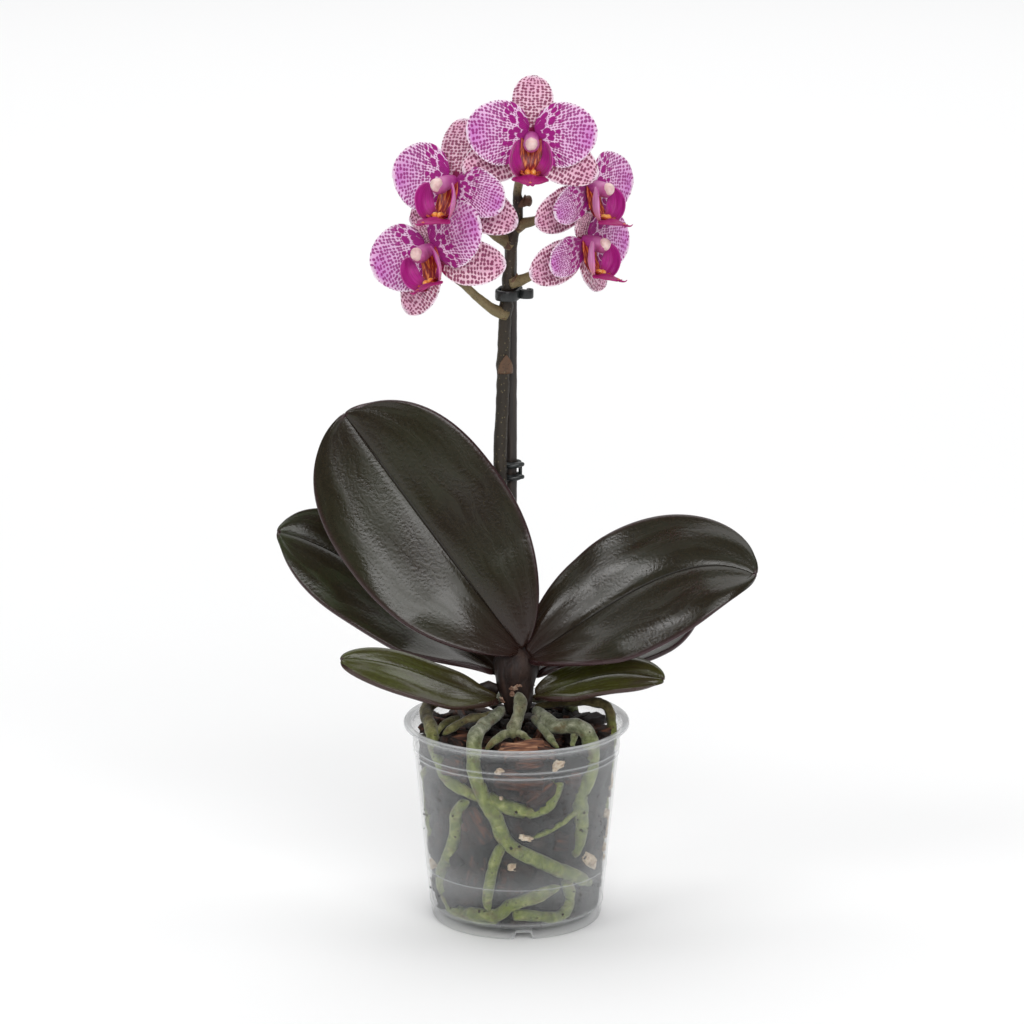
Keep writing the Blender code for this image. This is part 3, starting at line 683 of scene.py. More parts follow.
def cage(cuts):
    """Points and faces of a unit cube cut into a grid, in the same order every time."""
    bm = bmesh.new()
    bmesh.ops.create_cube(bm, size=1)
    bmesh.ops.subdivide_edges(bm, edges=bm.edges[:], cuts=cuts, use_grid_fill=True)
    verts = sorted(bm.verts, key=lambda v: tuple(round(c, 3) for c in v.co))
    number = {v: k for k, v in enumerate(verts)}
    loops = [[number[v] for v in face.verts] for face in bm.faces]
    faces = sorted(loop[loop.index(min(loop)):] + loop[:loop.index(min(loop))] for loop in loops)
    points = [v.co.copy() for v in verts]
    bm.free()
    return points, faces


def make_chips(name, chips, material, slot, cuts=3, lumpy=0.22, inside=True):
    """One piece of many broken bits: each has a centre, a size in mm with the grain
    along its first side, a turn, and a tone from dark to light."""
    cube, cube_faces = cage(cuts)
    points, faces, grain, tones = [], [], [], []
    for seed, (centre, size, turn, tone) in enumerate(chips):
        first = len(points)
        for p in cube:
            p = p.lerp(p.normalized() * 0.62, 0.35)
            p += lumpy * noise.noise_vector(p * 2.3 + Vector((seed, 0, 0)))
            local = Vector([float(a * b) for a, b in zip(p, size)])
            grain.extend(local + Vector((seed * 3.1, seed * 1.7, 0)))
            tones.append(tone)
            points.append((turn @ local + Vector(centre)) * MM)
        faces += [[first + k for k in face] for face in cube_faces]
    mesh = bpy.data.meshes.new(name)
    mesh.from_pydata(points, [], faces)
    mesh.attributes.new("grain", "FLOAT_VECTOR", "POINT").data.foreach_set("vector", grain)
    mesh.attributes.new("tone", "FLOAT", "POINT").data.foreach_set("value", tones)
    mesh.shade_smooth()
    if inside:
        press_in(mesh)
    return piece(name, mesh, [material], slot)


def random_turn():
    return Matrix.Rotation(rng.uniform(0, 6.28), 3, Vector(rng.normal(size=3)))


def on_wall(azimuth, z, depth):
    """Point at this height, depth mm behind the wall; azimuth in degrees from the front."""
    reach = wall_in(z) - depth
    return (reach * math.sin(math.radians(azimuth)), -reach * math.cos(math.radians(azimuth)), z)


def clear_of(centre, samples, room):
    offset = samples[:, :3] - np.asarray(centre)
    return bool((np.linalg.norm(offset, axis=1) > samples[:, 3] + room).all())


def flat_to_wall(azimuth, roll):
    """Turn that lays a chip's thin side against the wall at this azimuth."""
    return Matrix.Rotation(math.radians(azimuth), 3, "Z") @ Matrix.Rotation(roll, 3, "Y")


def make_humus(samples):
    """The lumpy body of the mix, sunk wherever a root lies in it."""
    tops = [(r, MIX_TOP - 0.3) for r in np.linspace(0, 25, 26)]
    walls = [(wall_in(z) - 0.5, z) for z in np.linspace(46.5, 3.0, 64)]
    mesh = turned(tops + walls + [(0, 3.0)], 150)
    for v in mesh.vertices:
        p = np.array(v.co) / MM
        reach = math.hypot(p[0], p[1])
        if reach < 1:
            continue
        radial = np.array([p[0], p[1], 0]) / reach
        bump = noise.fractal(Vector(p) / 5.5, 1.0, 2.0, 4)
        if p[2] < MIX_TOP - 1:
            inward = -radial
            p -= max(0.1, 0.6 + 1.5 * bump) * radial
        elif reach > 24.5:
            inward = unit(-radial - (0, 0, 0.9))
        else:
            inward = np.array([0, 0, -1.0])
            p[2] += 1.7 * bump
        offset = samples[:, :3] - p
        depth = offset @ inward
        aside = np.linalg.norm(offset - depth[:, None] * inward, axis=1)
        near = (aside < samples[:, 3] + 0.7) & (depth < 6) & (depth > -samples[:, 3] - 2)
        if near.any():
            p += inward * max(0.0, (samples[near, 3] * 0.9 + 0.3 + depth[near]).max())
        v.co = p * MM
    mesh.update()
    press_in(mesh)
    piece("mix_humus", mesh, [humus()], "mix_bark", "potting_mix")


def bark_chips(samples):
    """Chips against the wall, then on top, all clear of roots, grains and each other."""
    chips = []
    for _ in range(2600):
        azimuth, z = rng.uniform(-180, 180), rng.uniform(6.5, 47)
        size = rng.uniform((3, 1.6, 2.2), (8, 3.2, 5))
        centre = on_wall(azimuth, z, size[1] * 0.55 + rng.uniform(0.0, 1.6))
        if len(chips) < WALL_CHIPS and clear_of(centre, samples, size[0] * 0.5) and apart(centre, chips, 4):
            turn = flat_to_wall(azimuth, rng.uniform(0, 6.28))
            chips.append((centre, size, turn, rng.uniform(0.0, 0.5)))
    most = len(chips) + TOP_CHIPS
    for _ in range(900):
        a, reach = rng.uniform(0, 6.28), 25 * math.sqrt(rng.uniform(0.01, 1))
        centre = (reach * math.cos(a), reach * math.sin(a), MIX_TOP + rng.uniform(0.0, 1.8))
        size = rng.uniform((3.5, 2.4, 1.6), (8.5, 5, 3))
        if len(chips) < most and clear_of(centre, samples, 0.6) and apart(centre, chips, 2.9):
            spin = Matrix.Rotation(rng.uniform(0, 6.28), 3, "Z")
            tilt = Matrix.Rotation(rng.uniform(-0.6, 0.6), 3, "X")
            chips.append((centre, size, spin @ tilt, rng.uniform(0.0, 0.55)))
    front = Matrix.Rotation(0.12, 3, "Z") @ Matrix.Rotation(0.5, 3, "X")
    chips += [((2.2, -21.0, 51.4), (11, 5.5, 3.6), front, 0.72),
              ((-12.5, -12.5, 51.3), (8, 4, 2.4), front, 0.56),
              ((6.5, -9.5, 51.8), (6.5, 3, 2), random_turn(), 0.62)]
    for azimuth, z, depth, size, roll, tone in SEEN_CHIPS:
        chips.append((on_wall(azimuth, z, depth), size, flat_to_wall(azimuth, roll), tone))
    return chips


def make_mix(samples):
    make_humus(samples)
    grains = [(on_wall(azimuth, z, depth), size) for azimuth, z, depth, size in GRAINS]
    azimuth, z, depth, size, roll = FLAT_GRAIN
    flat_grain = (on_wall(azimuth, z, depth), size, flat_to_wall(azimuth, roll), 0.5)
    kept_clear = [[*centre, max(size) / 2] for centre, size in grains + [flat_grain[:2]]]
    make_chips("mix_chips", bark_chips(np.vstack([samples] + kept_clear)), bark(), "mix_bark")

    for _ in range(26):
        grains.append((on_wall(rng.uniform(80, 280), rng.uniform(8, 46), 0.8), rng.uniform(1.0, 3.0, 3)))
    bits = [(centre, size, random_turn(), 0.5) for centre, size in grains]
    make_chips("mix_perlite", bits + [flat_grain], perlite(), "mix_bark", lumpy=0.28)

    crumbs = []
    for azimuth, z, wide, tall, count in CRUMBS:
        for _ in range(count):
            spot = on_wall(azimuth + wide * rng.normal() * 0.6,
                           np.clip(z + tall * rng.normal() * 0.6, 6, 44), -0.12)
            size = rng.uniform((0.25, 0.15, 0.25), (0.85, 0.3, 0.6))
            crumbs.append((spot, size, flat_to_wall(azimuth, rng.uniform(0, 6.28)), 0.3))
    make_chips("mix_crumbs", crumbs, bark(), "mix_bark", cuts=1, inside=False)


def apart(centre, chips, room):
    return all(math.dist(centre, other[0]) > room for other in chips)


# ---- leaves ----
LEAVES = {
    "leaf_upper_left": dict(
        mid=[(1.2, -1.4, 73.4), (-12, -0.6, 90.3), (-28.5, 3, 113.2), (-45, 8, 134.8)],
        face=[(0.1, -0.85, 0.5), (-0.2, -0.95, 0.25)], half=24.5, widest=0.56, base=0.11, tip=2.7,
        fold=(30, 12, 6), camber=0.10, left=0.97, right=0.97),
    "leaf_lower_left": dict(
        mid=[(-5, 3, 65.5), (-20, 13, 71.5), (-42, 20, 96), (-63.5, 18, 100.3)],
        face=[(0.4, -0.5, 0.75), (-0.3, -0.75, 0.6)], half=16, widest=0.55, base=0.16, tip=2.2,
        fold=(40, 14, 8), camber=0.12, right=0.9),
    "leaf_small_left": dict(
        mid=[(-5.4, -2.9, 60.2), (-16, -6.4, 62.6), (-30, -10, 74), (-45.5, -12, 73.5)],
        face=[(0.3, -0.5, 0.8), (-0.1, -0.6, 0.8)], half=10.5, widest=0.5, base=0.2, tip=2.0,
        fold=(40, 16, 10), camber=0.1, right=0.5),
    "leaf_upper_right": dict(
        mid=[(3.4, -1.8, 71.2), (20, -5, 82), (42, -8, 105), (62, -8, 95.5)],
        face=[(-0.35, -0.6, 0.7), (0.45, -0.65, 0.6)], half=19, widest=0.47, base=0.14, tip=2.3,
        fold=(36, 10, 6), camber=0.12, left=0.97, right=0.97),
    "leaf_lower_right": dict(
        mid=[(4.9, 2.8, 65), (19, 14, 67), (35, 17, 73), (49, 17, 81.5)],
        face=[(-0.4, -0.3, 0.8), (-0.2, -0.3, 0.9)], half=17, widest=0.5, base=0.16, tip=2.2,
        fold=(40, 14, 8), camber=0.12),
    "leaf_small_right": dict(
        mid=[(5.2, -2.9, 61), (14, -7, 65), (26, -11, 72.5), (38, -13, 68.5)],
        face=[(-0.3, -0.5, 0.8), (0.2, -0.6, 0.8)], half=8, widest=0.5, base=0.24, tip=2.0,
        fold=(40, 14, 8), camber=0.1, left=0.85, right=0.9),
}


def leaf_skin(name, dark, green, amount):
    """Waxy leaf face: dark brown over green, purple rim, painted shade along the midrib, silvery streaks
    along it.
    """
    g = Shader(name, 0.42)
    along, across = g.attribute("along"), g.attribute("across")
    rim = g.positive(across)
    cloud = g.noise(38, 3)
    drift = g.by_noise(g.noise(60, 2), -0.5, 0.5)
    flow = g.join(g.plus(g.times(across, 6.5), drift), g.times(along, 3.4))
    streak = g.noise(1.0, 5, flow, 0.6)
    fine = g.noise(1250, 2)
    wash = g.span(g.plus(cloud, g.by_noise(streak, -0.12, 0.12)), 0.36, 0.66, 0, amount)
    colour = g.mix(wash, dark, green)
    colour = g.mix(g.span(fine, 0.35, 0.7, 0.0, 0.4), colour, rgb(50, 42, 26))
    margin = g.larger(g.span(rim, 0.92, 1.0), g.span(along, 0.965, 1.0))
    colour = g.mix(g.times(margin, 0.7), colour, rgb(62, 34, 42))
    colour = g.mix(g.span(along, 0.2, 0.0, 0, 0.7), colour, rgb(44, 22, 22))
    # painted shade: a near-black line along the midrib's groove
    colour = g.mix(g.span(rim, 0.03, 0.0, 0, 0.7), colour, rgb(22, 15, 12))
    rough = g.span(streak, 0.38, 0.62, 0.17, 0.31)
    groove = g.bump(g.span(rim, 0.0, 0.02), 0.0003, 0.8, g.bump(streak, 0.00018, 0.36))
    return g.finish(colour=colour, rough=rough, normal=g.bump(fine, 0.00014, 0.42, groove))


def leaf_back():
    g = Shader("leaf_back", 0.5)
    streak = g.lines_along(14.0, 3.0, 5)[0]
    colour = g.ramp(streak, (0.3, rgb(46, 26, 28)), (0.5, rgb(66, 36, 38)), (0.7, rgb(74, 56, 42)))
    fine = g.noise(1300, 2)
    return g.finish(colour=colour, rough=g.by_noise(streak, 0.42, 0.6), normal=g.bump(fine, 0.0002, 0.5))


def make_leaves():
    brown, green = rgb(30, 23, 12), rgb(34, 37, 15)
    small = leaf_skin("leaf_face_green", rgb(54, 46, 26), rgb(70, 76, 26), 0.85)
    skins = {"leaf_upper_left": leaf_skin("leaf_face_dark", brown, green, 0.7),
             "leaf_upper_right": leaf_skin("leaf_face_right", brown, rgb(36, 40, 26), 0.7),
             "leaf_lower_left": leaf_skin("leaf_face_mid", rgb(36, 33, 22), rgb(44, 56, 26), 1.0),
             # leaf_lower_right gets a darker copy of the leaf skin: painted shade for a leaf lying under
             # leaf_upper_right
             "leaf_lower_right": leaf_skin("leaf_face_low_painted_shade", rgb(24, 21, 12), rgb(31, 36, 18), 0.9),
             "leaf_small_left": small, "leaf_small_right": small}
    back = leaf_back()
    for index, (name, form) in enumerate(LEAVES.items()):
        def shape(t, s, form=form, seed=index * 3.7):
            return blade(t, s, ripple=0.9, groove=0.4, seed=seed, **form)
        ob = piece(name + "_blade", sheet(shape, 56, 32), [skins[name], back], "leaf_green", name)
        thicken(ob, 1.5, 1, 1)


# ---- stem base ----
# scraps of dry leaf base: azimuth, height, half width, length, lean
HUSKS = [(-10, 63.2, 1.3, 1.0, 0.4), (6, 64.0, 1.0, 0.8, 0.5), (-14, 61.4, 0.8, 1.5, 0.3),
         (-52, 59.2, 1.0, 1.4, 0.4), (150, 62, 3, 3, 0.6), (-130, 61, 3, 2.6, 0.5)]


def stem_skin():
    stops = (0.3, rgb(18, 11, 9)), (0.5, rgb(38, 22, 17)), (0.72, rgb(58, 38, 27))
    return plain_skin("stem_skin", 0.45, (300, 5, 0.6), stops, (0.5, 0.75), (0.0012, 0.8), (1.6, 1.6, 0.3))


def husk():
    stops = (0.3, rgb(90, 64, 52)), (0.5, rgb(146, 112, 94)), (0.72, rgb(196, 172, 150))
    return plain_skin("dry_husk", 0.3, (700, 4), stops, (0.7, 0.9), (0.0005, 0.8))


def make_stem_base():
    profile = [(0, 74.6), (2.2, 74.4), (4.0, 73.4), (5.6, 71.5), (6.5, 69.2), (6.3, 67.2), (5.7, 65),
               (5.1, 62.6), (4.6, 60), (4.2, 57.6), (3.4, 55.6), (1.6, 54.8), (0, 54.7)]
    mesh = turned(profile, 72)
    for v in mesh.vertices:
        x, y, z = v.co / MM
        turn = math.atan2(x, -y)
        fold = 1 + 0.10 * math.cos(2 * turn) - 0.09 * abs(math.cos(2.5 * turn + 0.05 * (z - 60)))
        v.co = Vector((x * (1.06 + 0.02 * (z - 60) / 6) * fold, y * 0.86 * fold, z)) * MM
    mesh.update()
    roughen(mesh, 0.9, 4.0, 3)
    roughen(mesh, 0.22, 1.2, 9)
    piece("crown", mesh, [stem_skin()], "stem_brown", "stem_base")

    scraps = []
    for azimuth, z, wide, tall, lean in HUSKS:
        turn = Matrix.Translation(Vector((0, 0, z)) * MM) @ Matrix.Rotation(math.radians(azimuth), 4, "Z")

        def shape(t, s, wide=wide, tall=tall, lean=lean, seed=azimuth):
            curl = 0.5 * noise.noise(Vector((3 * s, 4 * t, seed)))
            return (s * wide * (1 - 0.7 * t), -4.6 - lean * t * 1.6 - curl, tall * t + 0.3 * s * s)
        scraps.append(sheet(shape, 10, 10, place=turn))
    thicken(piece("husks", merged(*scraps), [husk()], "stem_brown"), 0.25, 0)

    stub = smooth_path([(-5, 0.5, 61.5), (-7.4, 0.2, 62.6), (-9.6, -0.4, 61.4), (-11.2, -0.8, 62.4)], 26)
    mesh = tube(stub, rounded_ends(spread([1.8, 1.7, 1.9, 1.3], 26)), 6)
    roughen(mesh, 0.5, 1.6, 5)
    piece("dried_stub", mesh, [stem_skin()], "stem_brown")


# ---- spike, stake and clips ----
SPIKE = [(0.5, 6.4, 55.5), (0.8, 7, 66), (-1, 7.6, 84), (-3.6, 8, 104), (-4.4, 8, 121.8), (-3.7, 8, 138.8),
         (-3.3, 7.5, 154.9), (-2.6, 7, 165.7), (-1.6, 6, 176.4), (-1.2, 5.5, 181.8), (0.1, 5, 186.6),
         (0.4, 4, 191.2), (0.2, 3, 194.5), (0.8, 0, 198.5), (2.2, -5.5, 204.5), (3.5, -11.2, 209.6)]
SPIKE_RADII = [1.8, 1.75, 1.75, 1.8, 1.7, 1.65, 1.55, 1.1, 0.9]
SPIKE_NODES = (108, 148.5, 163.5, 171.5, 181.5, 186, 192)
PEDICELS = {
    "left_lower": [(-2.6, 6.8, 161.8), (-6, 5.6, 163.4), (-9.5, 3.8, 166.4), (-12.6, 0, 170),
                   (-17.3, -4.5, 175), (-20.2, -7.4, 179.4)],
    "right_lower": [(-1.6, 6, 170.4), (0.6, 5.6, 171), (3.5, 3, 172.7), (6.8, -1, 175.6),
                    (11.8, -3.5, 178.5), (15.4, -6.2, 182)],
    "left_upper": [(-1.3, 5.6, 180.2), (-3, 5.2, 181.6), (-5.6, 3, 183.5), (-8.9, 0, 186.9),
                   (-13, -4.4, 192), (-15.1, -7.9, 197)],
    "right_upper": [(-0.2, 5.2, 185), (1.6, 4.8, 186.2), (3.5, 3, 186.9), (6.3, 0, 188.4),
                    (12, -2, 192.2), (16.4, -4, 195.6)],
}
BUD = [(0.4, 4, 191.5), (1.8, 3.6, 191.7), (2.9, 3.2, 192.3), (3.8, 3, 192.4)]
# scales on the spike: place, azimuth, width, length
BRACTS = [((-3.2, 7.8, 146.2), 14, 2.3, 5.2), ((-2.7, 6.9, 161.0), -70, 1.7, 3.2),
          ((-1.8, 6.2, 169.9), 60, 1.7, 3.2), ((-1.4, 5.7, 179.6), -60, 1.7, 3.2),
          ((-0.3, 5.3, 184.5), 60, 1.7, 3.2), ((-4.0, 8, 107.5), -150, 1.7, 3.2),
          ((0.3, 4.2, 190.8), 60, 1.7, 3.2)]


def stalk_skin(name, dark, light, speckle, pale_above=1.0):
    g = Shader(name, 0.4)
    soft = g.noise(150, 4, g.stretch(g.place, (1.4, 1.4, 0.35)))
    colour = g.mix(g.span(soft, 0.35, 0.65), dark, light)
    height = g.node("SeparateXYZ", {0: g.place}, 2)
    colour = g.mix(g.span(height, pale_above, pale_above + 0.003), colour, rgb(140, 128, 88))
    speck = g.span(g.cells(1500, 1), 0.34, 0.2)
    colour = g.mix(g.times(speck, speckle), colour, rgb(40, 30, 22))
    pale = g.span(g.cells(1150, 1, g.stretch(g.place, (1, 1.3, 0.8))), 0.22, 0.12)
    colour = g.mix(g.times(pale, speckle * 0.8), colour, rgb(128, 116, 82))
    fine = g.noise(1700, 2)
    return g.finish_with(colour, fine, (0.42, 0.62), (0.0002, 0.5))


def make_spike():
    count = 320
    path = smooth_path(SPIKE, count)
    radii = spread(SPIKE_RADII, count)
    for z in SPIKE_NODES:
        radii += 0.28 * np.exp(-((path[:, 2] - z) / 1.3) ** 2)
    stem = tube(path, rounded_ends(radii, 4), 9)
    roughen(stem, 0.14, 2.4, 1)
    skin = stalk_skin("spike_skin", rgb(34, 28, 19), rgb(56, 47, 33), 0.7, 0.1935)
    piece("spike_stem", stem, [skin], "spike_olive", "flower_spike")

    swell = spread([1.75, 1.3, 1.08, 1.0, 0.98, 1.05], 60)
    mesh = merged(*(tube(smooth_path(stops, 60), swell, 7) for stops in PEDICELS.values()))
    roughen(mesh, 0.12, 2.0, 4)
    skin = stalk_skin("pedicel_skin", rgb(104, 92, 62), rgb(134, 120, 84), 0.35)
    piece("pedicels", mesh, [skin], "spike_olive")

    swell = rounded_ends(spread([0.95, 0.8, 0.85, 1.35, 1.25], 26), 4)
    extras = [tube(smooth_path(BUD, 26), swell, 7)]
    for place, azimuth, wide, tall in BRACTS:
        turn = Matrix.Translation(Vector(place) * MM) @ Matrix.Rotation(math.radians(azimuth), 4, "Z")

        def shape(t, s, wide=wide, tall=tall):
            a = s * 1.15 * (1 - t ** 1.5)
            reach = 1.9 + 0.5 * t * (1 - 0.5 * t)
            return (reach * math.sin(a) * wide / 2, -reach * math.cos(a), tall * t)
        extras.append(sheet(shape, 10, 10, place=turn))
    skin = stalk_skin("bract_skin", rgb(76, 56, 40), rgb(110, 80, 58), 0.5)
    thicken(piece("bracts", merged(*extras), [skin], "spike_olive"), 0.3, 0)


def stake_skin():
    stops = (0.32, rgb(28, 23, 20)), (0.55, rgb(46, 38, 33)), (0.75, rgb(66, 55, 46))
    return plain_skin("stake_skin", 0.5, (420, 4, 0.6), stops, (0.38, 0.6), (0.0004, 0.6), (2.4, 2.4, 0.12))


def black_plastic():
    g = Shader("black_plastic", 0.6)
    grit = g.noise(1400, 3)
    colour = g.mix(g.span(grit, 0.35, 0.7), rgb(20, 24, 24), rgb(38, 42, 42))
    return g.finish_with(colour, grit, (0.28, 0.45), (0.00012, 0.4))


def band(outline, low, high, wall):
    """Closed band: the (x, y) outline swept up from low to high with rounded edges."""
    loop = np.asarray(outline, float)
    ahead = np.roll(loop, -1, 0) - np.roll(loop, 1, 0)
    out = np.stack([ahead[:, 1], -ahead[:, 0]], 1) / np.linalg.norm(ahead, axis=1)[:, None]
    ring = []
    for k in range(16):
        a = 2 * math.pi * k / 16
        c, s = math.cos(a), math.sin(a)
        ring.append((math.copysign(abs(c) ** 0.5, c), math.copysign(abs(s) ** 0.5, s)))
    n = len(loop)

    def shape(t, s):
        i = int(round(t * n)) % n
        k = int(round((s + 1) * 8)) % 16
        c, d = ring[k]
        x, y = loop[i] + out[i] * c * wall / 2
        return (x, y, (low + high) / 2 + d * (high - low) / 2)
    return merged(sheet(shape, n, 16))


def stadium(first, second, radius, count=24):
    a, b = np.asarray(first, float), np.asarray(second, float)
    turn = math.atan2(*(b - a)[::-1])
    loop = []
    for k in range(2 * count):
        middle = a if k < count else b
        angle = turn + math.pi / 2 + math.pi * (k % count) / (count - 1) + (0 if k < count else math.pi)
        loop.append(middle + radius * np.array([math.cos(angle), math.sin(angle)]))
    return loop


def make_supports():
    foot, top = np.array([-1.5, 14.6, 16.0]), np.array([-1.5, 10.6, 190.0])
    path = [foot + (top - foot) * t for t in np.linspace(0, 1, 90)]
    stake = tube(path, rounded_ends([1.6] * 90, 2), 9)
    roughen(stake, 0.10, 3.0, 2)
    piece("stake", stake, [stake_skin()], "stick_dark", "support_stick")

    black = black_plastic()
    upper = [band(stadium((-2.5, 6.8), (-1.5, 11.1), 2.65), 165.7, 168.5, 0.95)]
    hook = [(0.9, 7.6), (2.2, 7.0), (3.6, 7.2), (4.1, 8.4), (3.8, 9.6), (3.0, 9.9), (2.9, 9.2), (3.1, 8.4),
            (2.6, 8.0), (1.6, 8.4)]
    outline = smooth_path([(x, y, 0) for x, y in hook + hook[:1]], 49)[:-1, :2]
    upper.append(band(outline, 165.9, 168.3, 0.7))
    piece("clip_band", merged(*upper), [black], "clip_black", "clip_upper")

    rings = []
    for z in (120.7, 117.3):
        outline = [(-1.5 + 2.35 * math.cos(a), 12.25 + 2.35 * math.sin(a))
                   for a in np.linspace(0, 2 * math.pi, 48, endpoint=False)]
        rings.append(band(outline, z - 0.8, z + 0.8, 1.0))
        claw = [(-3.2, 9.6, z), (-1.4, 8.9, z + 0.1), (0.6, 9.4, z + 0.4), (1.9, 10.6, z + 0.2)]
        rings.append(tube(smooth_path(claw, 24), rounded_ends([0.62] * 24), 6))
    rings.append(tube([(1.0, 12.2, 117.5), (1.0, 12.2, 120.5)], [0.5, 0.5]))
    piece("clip_rings", merged(*rings), [black], "clip_black", "clip_lower")


# ---- blooms: x to the right, z to the top sepal, facing -y ----
PETAL = dict(mid=[(0.9, -0.5, 1.2), (5, -1.1, 1.8), (11, -1.8, 2.2), (16.4, -1.6, 1.2)],
             face=[(0, -1, 0), (-0.15, -1, 0)], half=8.4, widest=0.46, base=0.26, tip=1.9,
             fold=(4, 4, 2), camber=0.08)
LATERAL = dict(mid=[(0.9, 0.7, -1.6), (5, 1.4, -4.2), (10, 3.2, -7), (15.6, 5, -9.0)],
               face=[(0, -1, 0), (0, -1, 0)], half=5.8, widest=0.46, base=0.3, tip=1.8,
               fold=(4, 5, 5), camber=0.12)
DORSAL = dict(mid=[(0, 0.9, 0.9), (0, 0.7, 5.5), (0, 2.4, 11.5), (0, 4, 16)],
              face=[(0, -1, 0), (0, -1, 0.1)], half=5.3, widest=0.6, base=0.3, tip=2.1,
              fold=(4, 5, 5), camber=0.12)
FLAT = dict(LATERAL, mid=[(0.9, 0.9, -1.6), (6, 1.2, -3.6), (11, 1.6, -6.2), (17, 2, -9)], half=6.2)
SHORT = dict(DORSAL, mid=[(0, 0.9, 1.2), (0, 0.4, 4), (0, -0.4, 6), (0, -0.9, 8.4)], half=3.9)
SWEPT = dict(DORSAL, mid=[(0, 0.9, 1.2), (0, 1.3, 5), (0, 3.2, 8.5), (0, 5.6, 11.5)], half=4.6)
DROOP = dict(PETAL, mid=[(0.9, -0.5, 0.6), (5, -1.1, -0.6), (11, -1.6, -2.6), (15.6, -1.2, -5.0)], half=5.9)
TUCKED = dict(PETAL, mid=[(0.9, -0.5, -0.2), (6, -1.2, -3.2), (11, -1.6, -5.4), (15, -1.2, -7)], half=5)
# bloom: centre; yaw, pitch, roll; size; top sepal, laterals, right petal, left petal
BLOOMS = {
    "top": ((3.7, -14, 210.6), (0, -3, 2), 1.0, DORSAL, FLAT, PETAL, PETAL),
    "left_upper": ((-16.2, -10, 198.6), (-34, -10, -4), 1.06, DORSAL, LATERAL, DROOP, PETAL),
    "left_lower": ((-21.6, -10, 181.1), (-32, -8, -27), 1.06, SHORT, LATERAL, PETAL, PETAL),
    "right_upper": ((18.2, -5.5, 196.8), (50, -8, 8), 0.98, SWEPT, LATERAL, PETAL, TUCKED),
    "right_lower": ((17.2, -8, 183), (50, -8, 12), 0.98, SHORT, LATERAL, PETAL, TUCKED),
}


def spotted(name, ground, flush, dot, blotch, rows, columns, bases):
    """Petal skin: dots in rows along the veins, blotches at the base, a pale rim."""
    g = Shader(name, 0.25, {"Sheen Weight": 0.15, "Subsurface Weight": 0.12, "Subsurface Scale": 1.0,
                            "Subsurface Radius": (0.0012, 0.0006, 0.0009)})
    along, across, vein = g.attribute("along"), g.attribute("across"), g.attribute("vein")
    rim = g.larger(g.span(g.positive(across), 0.90, 0.98), g.span(along, 0.93, 0.99))
    wobble = g.noise(260, 2, None, 0.5)
    lengthwise = g.plus(g.times(along, columns), g.by_noise(wobble, -0.3, 0.3))
    rows_at = g.plus(g.times(vein, rows), g.by_noise(g.noise(190, 2), -0.18, 0.18))
    dots = g.cells(1.0, 0.42, g.join(rows_at, lengthwise), voronoi_dimensions="2D")
    size = g.ramp(along, (0.0, 0.0), (bases * 0.6, 0.26), (bases, 0.46), (0.6, 0.42), (1.0, 0.36))
    size = g.times(size, g.by_noise(g.noise(420, 1), 0.82, 1.12))
    size = g.minus(size, g.times(rim, 0.14))
    mark = g.span(g.minus(dots, size), 0.05, -0.06)
    wide = g.join(g.times(vein, rows * 0.34), g.times(along, columns * 0.40))
    big = g.cells(1.0, 0.85, wide, voronoi_dimensions="2D")
    base_size = g.span(along, 0.04, bases * 1.3, 0.72, 0.16)
    base_mark = g.span(g.minus(big, base_size), 0.035, -0.035)
    base_mark = g.times(base_mark, g.span(along, bases * 1.3, bases * 1.05))
    glow = g.span(along, 0.42, 0.9, 0, 1)
    glow = g.times(glow, g.span(g.positive(across), 1.0, 0.35, 0, 0.9))
    colour = g.mix(glow, ground, flush)
    colour = g.mix(g.times(rim, 0.75), colour, rgb(250, 232, 244))
    shade = g.mix(g.span(along, 0.1, 0.55), blotch, dot)
    colour = g.mix(g.times(mark, 0.9), colour, shade)
    colour = g.mix(base_mark, colour, blotch)
    ribs = g.node("Math", {0: g.times(vein, rows * 6.283)}, operation="COSINE")
    soft = g.bump(ribs, 0.00018, 0.5)
    return g.finish(colour=colour, rough=g.by_noise(wobble, 0.5, 0.65),
                    normal=g.bump(g.noise(2400, 2), 0.00008, 0.5, soft))


